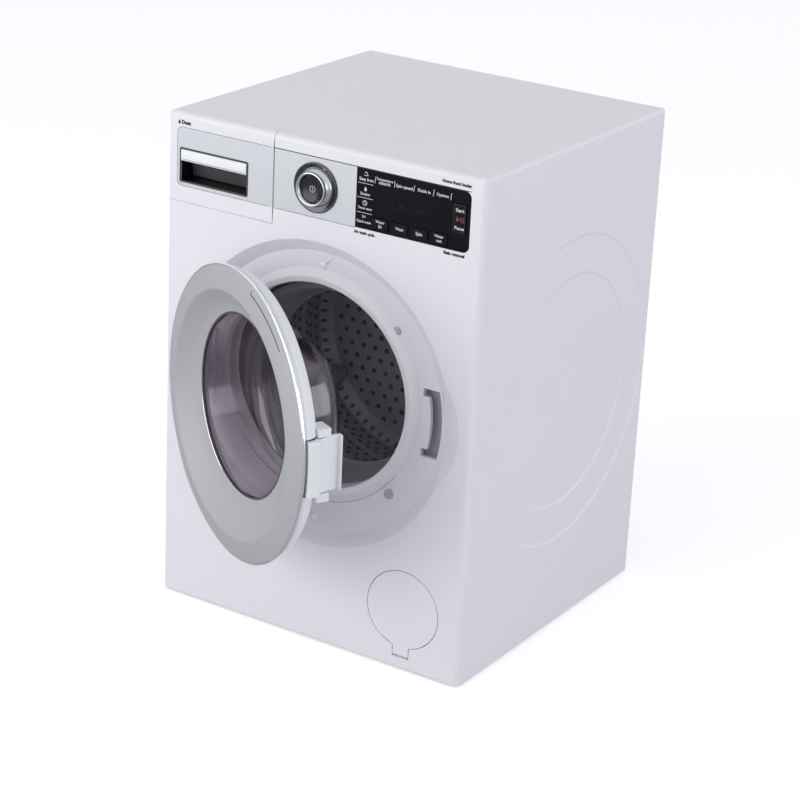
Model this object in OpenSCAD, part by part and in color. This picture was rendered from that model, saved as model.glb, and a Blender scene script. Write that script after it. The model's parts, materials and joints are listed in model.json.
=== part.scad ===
// Toy washing machine, front loader, about one quarter of full size.
// Frame: +Z up, +Y to the back, origin on the floor under the middle of the cabinet. Millimetres.
// The door is drawn closed and then swung open about its hinge by door_open degrees.

/* [Cabinet] */
// Width across the side walls
cabinet_w = 185; // [184:0.5:188]
// Depth from front face to rear edge
cabinet_d = 178; // [176:0.5:184]
// Height of the top face above the floor
cabinet_h = 262; // [260:0.5:268]
// Thickness of the moulded walls
wall = 2.4; // [2.2:0.1:2.6]
// Radius of the four upright corners
corner_r = 3; // [2:0.5:5]
// Radius of the edges around the top
edge_r = 3; // [2:0.5:4]
// Height of the rubber feet below the base
foot_h = 1; // [0.6:0.2:1.4]
// Depth of each step of the round side embossing
emboss_h = 0.5; // [0.2:0.1:0.6]

/* [Door] */
// Height of the door's centre
door_z = 133; // [132:0.5:134]
// Outer radius of the door ring
door_r = 74; // [73.5:0.1:74.2]
// Radius of the ridge on the door ring
ridge_r = 62; // [60:0.5:64]
// Radius of the window in the door ring
window_r = 46; // [45:0.5:46]
// Height of the window's middle above the middle of the door
window_rise = 3.6; // [3:0.1:4.2]
// How far the rim of the door stands in front of the cabinet
door_proud = 13.2; // [13:0.1:13.4]
// How far the clear bowl reaches behind the rim of the door
bowl_depth = 38; // [36:0.5:38.5]
// Angle at which the door stands open
door_open = 27.35; // [0:0.05:60]

/* [Front recess] */
// Radius of the recess at the front face
recess_r = 79.5; // [78.5:0.1:80]
// Radius of the flat floor of the recess
floor_r = 73.3; // [72.8:0.1:74]
// Depth of the recess
recess_d = 5; // [4.8:0.1:5.2]
// Inner radius of the lip around the drum opening
lip_r = 53.2; // [53:0.1:53.6]
// Height of the drum opening's middle above the middle of the door
lip_rise = 4.6; // [4:0.1:4.8]

/* [Drum] */
// Outer radius of the drum
drum_r = 67.5; // [66:0.5:68]
// Number of lifters in the drum
paddles = 3; // [3:1:4]

/* [Drawer] */
// Width of the drawer front
drawer_w = 65; // [64.5:0.1:65.5]
// Height of the drawer front
drawer_h = 46; // [45.5:0.1:46.5]
// Depth of the finger well in the drawer front
well_d = 11; // [9:0.5:11.5]

/* [Controls] */
// Radius of the fixed bezel around the programme knob
bezel_r = 12.6; // [12:0.1:13]
// How far the knob stands in front of the cabinet
knob_proud = 5; // [4.6:0.1:6]
// Travel of each key and of the power button
key_travel = 0.6; // [0.4:0.1:0.6]

/* [Gears] */
// Teeth of the motor pinion and of the small idler gear
pinion_teeth = 15; // [14:1:16]
// Teeth of the large idler gear
idler_teeth = 45; // [42:1:46]
// Teeth of the drum gear
drum_teeth = 60; // [56:1:60]

/* [Hidden] */
$fn = 96;
eps = 0.01;

white = [0.92, 0.92, 0.94];
silver = [0.78, 0.79, 0.81];
chrome = [0.85, 0.85, 0.87];
black = [0.06, 0.06, 0.08];
dark_grey = [0.25, 0.25, 0.28];
steel = [0.7, 0.7, 0.72];
brass = [0.8, 0.65, 0.3];
green = [0.1, 0.4, 0.25];
clear = [0.85, 0.85, 0.9, 0.35];

// Planes of the cabinet
half_w = cabinet_w / 2;
front_y = -cabinet_d / 2;
back_y = cabinet_d / 2;
inner_front_y = front_y + wall;
inner_x = half_w - wall;
inner_top_z = cabinet_h - wall;
floor_y = front_y + recess_d;
floor_back_y = floor_y + wall;
panel_back_y = back_y - 1;
panel_front_y = panel_back_y - wall;
panel_gap = 0.2;
base_z = foot_h;
base_top_z = base_z + wall;
foot_r = 7;
foot_seat = 0.6;
foot_places = [[-72, -70], [72, -70], [-72, 70], [72, 70], [0, 0]];
screw_r = 1.3;
boss_r = 3.5;
boss_x = inner_x - boss_r + 0.8;
panel_screw_z = [14, 246];
base_screw_y = [-62, 58];
screw_head_r = 2.6;
head_seat_r = 2.8;

// Side embossing: two shallow round steps pressed into each side wall
emboss_y = 3;
emboss_z = 131;
emboss_radii = [82, 62];
emboss_slope = 1.4;

// Lip of the drum opening, and the finger scoop beside the latch slot
lip_y = front_y + 1;
lip_out_r = lip_r + 3.8;
lip_foot_r = lip_out_r + 3;
lip_back_y = floor_back_y + 2;
lip_edge = 0.6;
scoop_x = 43;
scoop_z = -1;
scoop_r = 42;
scoop_floor_r = 30.5;

// Door: planes and parts, drawn closed
rim_y = front_y - door_proud;
ridge_y = rim_y - 3;
dish_y = rim_y + 5;
frame_back_y = rim_y + 9.2;
frame_wall = 1.8;
inner_ring_r = [57.5, 61];
inner_ring_y = front_y + 0.3;
bowl_r = window_r + 0.8;
bowl_flange_r = bowl_r + 4.5;
bowl_wall = 1.6;
bowl_back_y = rim_y + bowl_depth;
bowl_slope_z = 26;
bowl_slope = 40;
hinge_x = -door_r;
hinge_y = front_y + 2.1;
hinge_pin_r = 1.5;
knuckle_r = 2.6;
door_knuckle_h = 27.4;
bracket_knuckle_h = 8;
hinge_pocket_x = [-78.5, -62];
hinge_pocket_half_h = 23;
run_gap = 0.05;

// Latch, on the side of the door away from the hinge
latch_z = door_z - 1.5;
latch_half_h = 13.8;
latch_block_half_h = 18.4;
latch_pin_half_h = 17;
latch_slot_half_h = 17.7;
latch_slot_r = [65.9, 72.3];
latch_notch_x = 64.8;
latch_leg_x = 61;
latch_leg_h = 4.2;
latch_pin_x = 67.6;
latch_pin_y = frame_back_y + 2.6;
latch_pin_r = 1.2;

// Drawer front: upper left corner of the cabinet, with the tray behind
drawer_x1 = -half_w + drawer_w;
drawer_z0 = cabinet_h - drawer_h;
drawer_front_t = 4;
seam = 0.2;
pocket_y = front_y + drawer_front_t + seam;
trim_x = [-86.5, drawer_x1 - 0.4];
trim_z = [cabinet_h - 37.5, cabinet_h - 7.7];
trim_corner_r = 3;
well_x = [-84.3, -43.5];
well_z = [cabinet_h - 35, cabinet_h - 18.5];
handle_h = 6;
tray_x = [well_x[0] - 1.2, -34];
tray_z = [cabinet_h - 40, cabinet_h - 8.5];
tray_back_y = front_y + 76;
tray_wall = 1.6;
housing_gap = 0.6;

// Control fascia: silver plate, then the dark display panel
fascia_z = [cabinet_h - 37.4, cabinet_h - 7.6];
fascia_x0 = drawer_x1;
fascia_x1 = 20.8;
display_x1 = 84.5;
display_corner_r = 3.5;
fascia_t = 1;
fascia_y = front_y + fascia_t;
knob_x = -2.5;
knob_z = cabinet_h - 22.5;
knob_r = 9.6;
knob_y = front_y - knob_proud;
button_r = 6.8;
hollow_shaft_r = 4;
stem_r = 1.9;
key_w = 9.2;
key_h = 5.2;
key_x0 = 35;
key_pitch = 11.1;
key_z = cabinet_h - 33.3;
start_w = 7.2;
start_h = 14;
start_x = 78.7;
start_z = cabinet_h - 21.3;
key_gap = 0.25;
key_proud = 0.5;
key_back_y = front_y + 5;
board_y = front_y + 9;
board_t = 1.6;
board_x = [-19, 87];
board_z = [cabinet_h - 41, cabinet_h - 5];
board_post_x = [-15.5, 84.5];
board_post_z = [cabinet_h - 38.3, cabinet_h - 7.5];

// Service flap, lower right of the front
flap_x = 58.4;
flap_z = 32.9;
flap_r = 21.1;
flap_t = 2;
flap_tab_w = 9.2;
flap_axis_z = 8.3;
flap_axis_y = front_y + 1.6;
flap_knuckle_r = 1.6;
flap_seam = 0.35;
flap_pin_r = 0.95;
flap_pin_l = 1.4;
flap_well_back_y = front_y + 15;

// Drum, tub and drive
tub_r = 71;
tub_wall = 2;
tub_flange_r = 80;
tub_screw_r = 77;
tub_front_y = floor_back_y + 2.4;
mouth_r = lip_r - 0.9;
tub_mouth_r = mouth_r + 3.2;
tub_back_y = back_y - 61;
gasket_y = [tub_front_y + tub_wall, front_y + 36.4];
gasket_r = [mouth_r - 2.3, mouth_r - 6.7];
strike_x = [59, 73.4];
strike_half_h = 19.5;
strike_back_y = front_y + 12.8;
drum_front_y = front_y + 37.5;
drum_back_y = back_y - 69;
drum_wall = 1.5;
drum_mouth_r = mouth_r - 3.3;
shaft_r = 4;
gear_plate_y = tub_back_y + 8;
plate_t = 2.5;
drum_gear_y = gear_plate_y + 4;
gear_m = 1;
gear_w = 5;
motor_gear_y = drum_gear_y + gear_w + 2;
motor_plate_y = motor_gear_y + gear_w + 2;
drum_shaft_end_y = drum_gear_y + gear_w + 1;
motor_r = 12;
motor_l = 25.5;
idler_angle = 55;
motor_angle = 15;
idler_dist = gear_m * (drum_teeth + pinion_teeth) / 2;
motor_dist = gear_m * (idler_teeth + pinion_teeth) / 2;
idler_x = idler_dist * cos(idler_angle);
idler_z = door_z + idler_dist * sin(idler_angle);
motor_x = idler_x + motor_dist * cos(motor_angle);
motor_z = idler_z + motor_dist * sin(motor_angle);
plate_x = [-14, 66];
plate_z = [119, 192];
spacers = [[-8, 186], [60, 128], [60, 186]];
idler_pin_r = 1.5;
motor_shaft_r = 1;

// Water path
duct_r = 4.2;
duct_bore_r = 3;
duct_foot_z = door_z + 60;
fill_x = -45;
fill_y = front_y + 59;
drain_x = 50;
drain_y = 10;
drain_z = 18.2;
dish_r = 9;
dish_depth = 7;

// Batteries: four AA cells side by side
cell_r = 7.25;
cell_l = 50.5;
cell_pitch = 15;
bay_w = 4 * cell_pitch;
bay_z = [24, 24 + cell_l + 2.5];
bay_d = 16;
bay_wall = 1.8;
battery_door_z1 = bay_z[1] + 8;
battery_door_gap = 0.25;
battery_axis_z = bay_z[0] + 1.1;
battery_axis_y = panel_back_y - 1;
battery_pin_r = 0.7;
battery_pin_l = 1.4;
battery_screw_z = bay_z[1] + 4.2;

// ---- Helpers -------------------------------------------------------------

// A rod along Y from y0 to y1.
module rod_y(r, y0, y1) {
    translate([0, y0, 0]) rotate([-90, 0, 0]) cylinder(r = r, h = y1 - y0);
}

// A cone along Y, r0 at y0 and r1 at y1.
module cone_y(r0, r1, y0, y1) {
    translate([0, y0, 0]) rotate([-90, 0, 0]) cylinder(r1 = r0, r2 = r1, h = y1 - y0);
}

// A turned part about Y. The outline holds [radius, y] points.
module turned_y(outline) {
    rotate([-90, 0, 0]) rotate_extrude() polygon(outline);
}

// A plate that stands across Y from y0 to y1. Its 2D outline is in X and Z.
module plate_y(y0, y1) {
    translate([0, y1, 0]) rotate([90, 0, 0]) linear_extrude(y1 - y0) children();
}

// A box given by its two corners.
module block(low, high) {
    translate(low) cube(high - low);
}

// A 2D rectangle from x and z ranges.
module area(xr, zr) {
    translate([xr[0], zr[0]]) square([xr[1] - xr[0], zr[1] - zr[0]]);
}

// A centred 2D rectangle with round corners.
module rounded_rect(w, h, r) {
    square([w - 2 * r, h], center = true);
    square([w, h - 2 * r], center = true);
    for (sx = [-1, 1], sy = [-1, 1])
        translate([sx * (w / 2 - r), sy * (h / 2 - r)]) circle(r);
}

// A 2D rectangle from z0 to z1 whose two top corners are round.
module arched_rect(w, z0, z1, r) {
    translate([-w / 2, z0]) square([w, z1 - z0 - r]);
    translate([-w / 2 + r, z0]) square([w - 2 * r, z1 - z0]);
    for (s = [-1, 1]) translate([s * (w / 2 - r), z1 - r]) circle(r);
}

// Places its children at the drum's axis.
module at_axis() {
    translate([0, 0, door_z]) children();
}

// Places its children at the middle of the window.
module at_window() {
    translate([0, 0, door_z + window_rise]) children();
}

// Swings its children open with the door.
module door_pose() {
    translate([hinge_x, hinge_y, 0]) rotate([0, 0, -door_open])
        translate([-hinge_x, -hinge_y, 0]) children();
}

// A pan-head screw along Y: the head lies from y to y + head_h, the shank reaches forward.
module screw_forward(y, shank_l, r = screw_r, head_r = screw_head_r, head_h = 1.4) {
    rod_y(head_r, y, y + head_h);
    rod_y(r, y - shank_l, y + eps);
}

// Involute gear outline with stub teeth. A tooth is centred on +X.
function involute(base, r) = let (a = acos(base / r)) tan(a) * 180 / PI - a;
module gear_2d(teeth, m, backlash = 0.14) {
    pitch = m * teeth / 2;
    base = pitch * cos(20);
    tip = pitch + 0.8 * m;
    root = pitch - 1.1 * m;
    foot = max(base, root) + 0.001;
    half = 90 / teeth - backlash / pitch * 90 / PI;
    steps = 4;
    flank = [for (i = [0:steps]) let (r = foot + (tip - foot) * i / steps)
        [r, half + involute(base, pitch) - involute(base, r)]];
    points = [for (t = [0:teeth - 1]) let (c = 360 * t / teeth) each concat(
        [root * [cos(c - flank[0][1] - 0.6), sin(c - flank[0][1] - 0.6)]],
        [for (f = flank) f[0] * [cos(c - f[1]), sin(c - f[1])]],
        [for (i = [steps:-1:0]) let (f = flank[i]) f[0] * [cos(c + f[1]), sin(c + f[1])]],
        [root * [cos(c + flank[0][1] + 0.6), sin(c + flank[0][1] + 0.6)]])];
    polygon(points);
}

// A gear across Y with a tooth pointing at the given angle from +X towards +Z.
module gear_y(teeth, y0, y1, angle) {
    plate_y(y0, y1) rotate(angle) gear_2d(teeth, gear_m);
}

// ---- Cabinet -------------------------------------------------------------

// The outer form of the cabinet: round upright corners and round top edges.
module cabinet_form() {
    intersection() {
        translate([0, 0, base_z]) linear_extrude(cabinet_h) rounded_rect(cabinet_w, cabinet_d, corner_r);
        plate_y(front_y - 1, back_y + 1) arched_rect(cabinet_w, base_z, cabinet_h, edge_r);
        translate([-half_w - 1, 0, 0]) rotate([90, 0, 90]) linear_extrude(cabinet_w + 2)
            arched_rect(cabinet_d, base_z, cabinet_h, edge_r);
    }
}

module side_embossing() {
    for (s = [-1, 1], i = [0:1])
        translate([s * (half_w - emboss_h * i), emboss_y, emboss_z]) rotate([0, s * 90, 0])
            translate([0, 0, -emboss_h])
                cylinder(r1 = emboss_radii[i] - emboss_slope, r2 = emboss_radii[i] + emboss_slope,
                         h = 2 * emboss_h);
}

// Slot for the door latch: it follows the round of the recess, with a short leg at each end.
module latch_slot(y0, y1) {
    at_axis() {
        intersection() {
            difference() {
                rod_y(latch_slot_r[1], y0, y1);
                rod_y(latch_slot_r[0], y0 - 1, y1 + 1);
            }
            block([50, y0, -latch_slot_half_h], [80, y1, latch_slot_half_h]);
        }
        for (s = [0, 1]) mirror([0, 0, s])
            block([latch_leg_x, y0, latch_slot_half_h - latch_leg_h],
                  [latch_slot_r[0] - 0.8, y1, latch_slot_half_h]);
    }
}

// Lip around the drum opening: it rises from a sloping foot on the recess floor.
module opening_lip() {
    translate([0, 0, door_z + lip_rise]) {
        cone_y(lip_out_r, lip_foot_r + 0.6, lip_y + lip_edge, floor_y + 0.8);
        cone_y(lip_out_r - lip_edge, lip_out_r, lip_y, lip_y + lip_edge);
        rod_y(lip_r + 2.4, lip_y + 0.2, lip_back_y);
    }
}

module lip_hole() {
    translate([0, 0, door_z + lip_rise]) {
        rod_y(lip_r, front_y - 5, lip_back_y + 1);
        cone_y(lip_r + 2 * lip_edge, lip_r, lip_y - lip_edge, lip_y + lip_edge);
    }
}

module recess_pads() {
    peg_ring_r = 66.5;
    for (a = [90, 270]) rotate([0, -a, 0]) translate([peg_ring_r, 0, 0])
        rod_y(1.5, floor_y - 0.8, floor_y + 1);
    for (a = [44, 316]) rotate([0, -a, 0]) translate([61.3, 0, 0])
        block([-2, floor_y - 1.2, -1.5], [2, floor_y + 1, 1.5]);
}

module flap_tab_2d(grow) {
    translate([flap_x - flap_tab_w / 2 - grow, flap_axis_z - (grow > 0 ? flap_knuckle_r + grow : 0)])
        square([flap_tab_w + 2 * grow, 8]);
}

module boss_y(x, z, r, y0, y1) {
    translate([x, 0, z]) rod_y(r, y0, y1);
}

module key_openings(grow, y0, y1) {
    plate_y(y0, y1) {
        for (i = [0:3]) translate([key_x0 + i * key_pitch, key_z])
            square([key_w + 2 * grow, key_h + 2 * grow], center = true);
        translate([start_x, start_z]) square([start_w + 2 * grow, start_h + 2 * grow], center = true);
    }
}

module front_and_case() {
    difference() {
        union() {
            difference() {
                cabinet_form();
                side_embossing();
                block([-inner_x, inner_front_y, -1], [inner_x, back_y + 1, inner_top_z]);
            }
            // backing of the door recess and of the finger scoop beside it
            at_axis() rod_y(recess_r + 3, inner_front_y - 1, floor_back_y);
            at_axis() translate([scoop_x, 0, scoop_z])
                rod_y(scoop_r + 3, inner_front_y - 0.8, floor_back_y - 0.2);
            // backing of the drawer pocket
            block([-inner_x, inner_front_y - eps, drawer_z0 - wall],
                  [drawer_x1 + wall, pocket_y + wall, inner_top_z]);
            // cup behind the service flap, with its hinge lugs
            translate([flap_x, 0, flap_z]) rod_y(flap_r + 2.2, inner_front_y - 1, flap_well_back_y);
            for (s = [-1, 1]) translate([flap_x + s * (flap_tab_w / 2 + 1.9), 0, flap_axis_z])
                block([-1.5, inner_front_y - 1, -3], [1.5, front_y + 4.2, 4]);
            // bosses for the rear panel, the base, the control board and the tub
            for (s = [-1, 1], z = panel_screw_z)
                boss_y(s * boss_x, z, boss_r, panel_front_y - 22, panel_front_y);
            for (s = [-1, 1], y = base_screw_y) translate([s * boss_x, y, base_top_z])
                cylinder(r = boss_r, h = 12);
            for (x = board_post_x, z = board_post_z) boss_y(x, z, 2.2, inner_front_y - 1, board_y);
            at_axis() for (a = [45:90:315]) rotate([0, a, 0]) translate([tub_screw_r, 0, 0])
                rod_y(3, floor_back_y - 1, tub_front_y);
        }
        // drawer pocket and the opening for its tray
        block([-half_w - 2, front_y - 1, drawer_z0], [drawer_x1, pocket_y, cabinet_h + 1]);
        block([tray_x[0] - housing_gap, front_y, tray_z[0] - housing_gap],
              [tray_x[1] + housing_gap, pocket_y + wall + 1, tray_z[1] + housing_gap]);
        // seat of the fascia and display, and what passes through it
        plate_y(front_y - 1, fascia_y) display_outline([fascia_x0 - 1, display_x1]);
        translate([knob_x, 0, knob_z]) rod_y(hollow_shaft_r + 0.6, front_y - 1, inner_front_y + 1);
        key_openings(key_gap + 0.1, front_y - 1, inner_front_y + 1);
        plate_y(front_y - 1, inner_front_y + 1) area([30, 68], [cabinet_h - 26, cabinet_h - 15]);
        // door recess with its finger scoop, and the latch slot
        at_axis() cone_y(recess_r + (recess_r - floor_r) / recess_d, floor_r, front_y - 1, floor_y);
        at_axis() translate([scoop_x, 0, scoop_z])
            cone_y(scoop_r + (scoop_r - scoop_floor_r) / recess_d, scoop_floor_r, front_y - 1, floor_y);
        latch_slot(floor_y - 1, floor_back_y + 1);
        at_axis() block([hinge_pocket_x[0], front_y - 1, -hinge_pocket_half_h],
                        [hinge_pocket_x[1], floor_y, hinge_pocket_half_h]);
        // service flap: seat, well behind it, tab and pin holes
        translate([flap_x, 0, flap_z]) rod_y(flap_r, front_y - 1, front_y + flap_t + 0.3);
        translate([flap_x, 0, flap_z]) rod_y(flap_r - 1.8, front_y, flap_well_back_y - 2);
        plate_y(front_y - 1, front_y + 5) flap_tab_2d(0.3);
        translate([flap_x - flap_tab_w / 2 - 2, flap_axis_y, flap_axis_z]) rotate([0, 90, 0])
            cylinder(r = flap_pin_r + run_gap, h = flap_tab_w + 4);
        // screw holes
        for (s = [-1, 1], z = panel_screw_z)
            boss_y(s * boss_x, z, screw_r, panel_front_y - 12, panel_front_y + 1);
        for (s = [-1, 1], y = base_screw_y) translate([s * boss_x, y, base_top_z - 1])
            cylinder(r = screw_r, h = 11);
        for (x = board_post_x, z = board_post_z) boss_y(x, z, 1, board_y - 5, board_y + 1);
        at_axis() for (a = [45:90:315]) rotate([0, a, 0]) translate([tub_screw_r, 0, 0])
            rod_y(1, floor_back_y - 1, tub_front_y + 1);
    }
}

module cabinet_shell() {
    color(white) difference() {
        union() {
            front_and_case();
            opening_lip();
        }
        lip_hole();
    }
    color(white) at_axis() recess_pads();
}

module rear_panel() {
    slots = 9;
    color(white) difference() {
        union() {
            plate_y(panel_front_y, panel_back_y)
                area([-inner_x + panel_gap, inner_x - panel_gap],
                     [base_top_z + panel_gap, inner_top_z - panel_gap]);
            boss_y(drain_x, drain_z, dish_r + 2, panel_back_y - dish_depth - 2, panel_front_y + 1);
        }
        // battery bay, drain dish, vents and screw seats
        plate_y(panel_front_y - 1, panel_back_y + 1)
            area([-bay_w / 2 - battery_door_gap, bay_w / 2 + battery_door_gap],
                 [bay_z[0] - battery_door_gap, battery_door_z1 + battery_door_gap]);
        translate([-bay_w / 2 - battery_pin_l - 0.2, battery_axis_y, battery_axis_z]) rotate([0, 90, 0])
            cylinder(r = battery_pin_r + run_gap, h = bay_w + 2 * battery_pin_l + 0.4);
        translate([drain_x, 0, drain_z]) rod_y(dish_r, panel_back_y - dish_depth, panel_back_y + 1);
        translate([drain_x, 0, drain_z]) rod_y(duct_bore_r, panel_back_y - dish_depth - 3, panel_back_y + 1);
        for (i = [0:slots - 1])
            plate_y(panel_front_y - 1, panel_back_y + 1)
                area([-40, 40], [196 + 5 * i, 198.2 + 5 * i]);
        for (s = [-1, 1], z = panel_screw_z) {
            boss_y(s * boss_x, z, screw_r, panel_front_y - 1, panel_back_y + 1);
            boss_y(s * boss_x, z, head_seat_r, panel_back_y - 1.4, panel_back_y + 1);
        }
    }
    // hose nipple in the drain dish
    color(white) translate([drain_x, 0, drain_z]) difference() {
        rod_y(duct_r, panel_back_y - dish_depth - 1, back_y - 0.5);
        rod_y(duct_bore_r, panel_back_y - dish_depth - 2, back_y);
    }
}

module base_plate() {
    color(white) difference() {
        block([-inner_x + panel_gap, inner_front_y + panel_gap, base_z],
              [inner_x - panel_gap, panel_back_y - panel_gap, base_top_z]);
        for (p = foot_places) translate([p[0], p[1], base_z - 1]) cylinder(r = foot_r, h = 1 + foot_seat);
        for (s = [-1, 1], y = base_screw_y) translate([s * boss_x, y, base_z - 1]) {
            cylinder(r = screw_r, h = 5);
            cylinder(r = head_seat_r, h = 2.2);
        }
        for (i = [-3:3]) translate([-55 + 4 * i, 30, base_z - 1]) cube([1.8, 24, 5]);
    }
}

// Four feet near the corners and one pad under the middle.
module rubber_feet() {
    color(dark_grey) for (p = foot_places) translate([p[0], p[1], 0])
        cylinder(r1 = foot_r - 0.8, r2 = foot_r, h = base_z + foot_seat);
}

module case_screws() {
    color(steel) for (s = [-1, 1], z = panel_screw_z) translate([s * boss_x, 0, z])
        difference() {
            screw_forward(panel_back_y - 1.4, 12);
            block([-0.4, panel_back_y - 0.7, -2], [0.4, panel_back_y + 1, 2]);
            block([-2, panel_back_y - 0.7, -0.4], [2, panel_back_y + 1, 0.4]);
        }
}

module base_screws() {
    color(steel) for (s = [-1, 1], y = base_screw_y) translate([s * boss_x, y, base_z]) {
        cylinder(r = screw_head_r, h = 1.2);
        cylinder(r = screw_r, h = 11);
    }
}

// The small screws that hold the control board and the front of the tub.
module inner_screws() {
    color(steel) {
        for (x = board_post_x, z = board_post_z) translate([x, 0, z])
            screw_forward(board_y + board_t, 5, r = 1, head_r = 2, head_h = 1);
        at_axis() for (a = [45:90:315]) rotate([0, a, 0]) translate([tub_screw_r, 0, 0])
            screw_forward(tub_front_y + tub_wall, 5, r = 1, head_r = 2, head_h = 1);
    }
}

module service_flap() {
    color(white) {
        plate_y(front_y, front_y + flap_t) {
            translate([flap_x, flap_z]) circle(flap_r - flap_seam);
            flap_tab_2d(0);
        }
        translate([flap_x - flap_tab_w / 2 - flap_pin_l, flap_axis_y, flap_axis_z]) rotate([0, 90, 0])
            cylinder(r = flap_pin_r, h = flap_tab_w + 2 * flap_pin_l);
        translate([flap_x - flap_tab_w / 2, flap_axis_y, flap_axis_z]) rotate([0, 90, 0])
            cylinder(r = flap_knuckle_r, h = flap_tab_w);
    }
}

// ---- Tub, drum and drive ---------------------------------------------------

module tub() {
    color(dark_grey) {
        difference() {
            union() {
                at_axis() turned_y([
                    [tub_mouth_r, tub_front_y], [tub_flange_r, tub_front_y],
                    [tub_flange_r, tub_front_y + tub_wall],
                    [tub_r + tub_wall, tub_front_y + tub_wall], [tub_r + tub_wall, tub_back_y],
                    [9, tub_back_y], [9, gear_plate_y - 0.5], [6.5, gear_plate_y - 0.5],
                    [6.5, tub_back_y - tub_wall], [tub_r, tub_back_y - tub_wall],
                    [tub_r, tub_front_y + tub_wall], [tub_mouth_r, tub_front_y + tub_wall]]);
                for (p = [[-8, 125], [60, 128], [-8, 186]])
                    boss_y(p[0], p[1], 3, tub_back_y - 1, gear_plate_y);
                // spouts for the fill duct and the drain tube
                translate([fill_x, fill_y, door_z + 50]) cylinder(r = duct_bore_r, h = 14);
                translate([drain_x, drain_y, door_z - 62]) cylinder(r = duct_bore_r, h = 16);
            }
            at_axis() for (a = [45:90:315]) rotate([0, a, 0]) translate([tub_screw_r, 0, 0])
                rod_y(1, tub_front_y - 1, tub_front_y + tub_wall + 1);
            translate([fill_x, fill_y, door_z + 40]) cylinder(r = 2, h = 30);
            translate([drain_x, drain_y, door_z - 70]) cylinder(r = 2, h = 40);
            at_axis() rod_y(tub_r, tub_front_y + tub_wall, tub_back_y - tub_wall);
            // notch for the strike behind the latch slot
            at_axis() block([strike_x[0] - 0.4, tub_front_y - 1, -strike_half_h - 0.4],
                            [strike_x[1] + 0.4, strike_back_y + 0.4, strike_half_h + 0.4]);
        }
    }
}

// Soft boot between the cabinet's opening and the drum: a flange, a bead, a cone and a second bead.
module door_gasket() {
    y0 = gasket_y[0];
    y1 = gasket_y[1];
    r0 = gasket_r[0];
    r1 = gasket_r[1];
    flange_r = tub_mouth_r + 2.5;
    color(dark_grey) at_axis() turned_y([
        [tub_mouth_r + 0.2, y0], [flange_r, y0], [flange_r, y0 + 1.8], [r0 + 4, y0 + 3.4], [r0 + 1.8, y0 + 7],
        [r1 + 2.2, y1 - 0.6], [r1 + 1.2, y1], [r1, y1 - 0.6], [r1 - 0.4, y1 - 1.8], [r1 + 0.4, y1 - 2.8],
        [r0 + 0.4, y0 + 8], [r0 - 0.4, y0 + 6.6], [r0, y0 + 5.2], [r0 + 1.8, y0 + 1.7],
        [r0 + 5.4, y0 + 1.6]]);
}

// Tray behind the latch slot that the hook of the latch enters.
module latch_strike() {
    color(dark_grey) at_axis() difference() {
        block([strike_x[0], floor_back_y, -strike_half_h], [strike_x[1], strike_back_y, strike_half_h]);
        block([strike_x[0] + 1, floor_back_y - 1, -strike_half_h + 1],
              [strike_x[1] - 1, strike_back_y - 1, strike_half_h - 1]);
    }
}

module shaft_bush() {
    color(brass) at_axis() difference() {
        rod_y(6.5, tub_back_y - tub_wall, gear_plate_y - 0.5);
        rod_y(shaft_r + run_gap, tub_back_y - tub_wall - 1, gear_plate_y);
    }
}

module drum_shell() {
    inner = drum_r - drum_wall;
    bead = 1.2;
    // the wall carries three shallow beads that run round the drum
    bead_ys = [drum_front_y + 19, drum_front_y + 34, drum_front_y + 49];
    color(dark_grey) at_axis() turned_y(concat(
        [[drum_mouth_r, drum_front_y], [drum_mouth_r + 3, drum_front_y], [drum_r - 1.5, drum_front_y + 5],
         [drum_r, drum_front_y + 7.5], [drum_r, drum_back_y], [11, drum_back_y], [11, drum_back_y + 4],
         [shaft_r, drum_back_y + 4], [shaft_r, drum_back_y - 2], [20, drum_back_y - 2],
         [24, drum_back_y - 4], [inner - 6, drum_back_y - 4], [inner, drum_back_y - 9]],
        [for (i = [2:-1:0]) each [[inner, bead_ys[i] + 3], [inner - bead, bead_ys[i] + 1.2],
                                  [inner - bead, bead_ys[i] - 1.2], [inner, bead_ys[i] - 3]]],
        [[inner, drum_front_y + 8.2], [drum_mouth_r + 2, drum_front_y + 2],
         [drum_mouth_r, drum_front_y + 2]]));
}

module drum_paddles() {
    root_r = drum_r - drum_wall;
    crest = 13;
    color(dark_grey) at_axis() for (i = [0:paddles - 1]) rotate([0, 30 + i * 360 / paddles, 0])
        intersection() {
            plate_y(drum_front_y + 10, drum_back_y - 10)
                polygon([[root_r + 2, -9], [root_r - 2, -8], [root_r - crest + 2, -3], [root_r - crest, 0],
                         [root_r - crest + 2, 3], [root_r - 2, 8], [root_r + 2, 9]]);
            rod_y(root_r - 1.3, drum_front_y, drum_back_y);
        }
}

module drum_shaft() {
    color(steel) at_axis() {
        rod_y(shaft_r, drum_back_y - 2.5, drum_shaft_end_y);
        rod_y(9, drum_back_y - 4, drum_back_y - 2);
    }
}

module drum_gear() {
    color(white) at_axis() difference() {
        gear_y(drum_teeth, drum_gear_y, drum_gear_y + gear_w, idler_angle);
        rod_y(shaft_r, drum_gear_y - 1, drum_gear_y + gear_w + 1);
        for (a = [0:60:300]) rotate([0, a, 0]) translate([17, 0, 0])
            rod_y(5.5, drum_gear_y - 1, drum_gear_y + gear_w + 1);
    }
}

module idler_gear() {
    color(white) translate([idler_x, 0, idler_z]) difference() {
        union() {
            gear_y(pinion_teeth, drum_gear_y, motor_gear_y, idler_angle + 180 + 180 / pinion_teeth);
            gear_y(idler_teeth, motor_gear_y, motor_gear_y + gear_w, motor_angle);
        }
        rod_y(idler_pin_r + run_gap, drum_gear_y - 1, motor_gear_y + gear_w + 1);
    }
}

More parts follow.
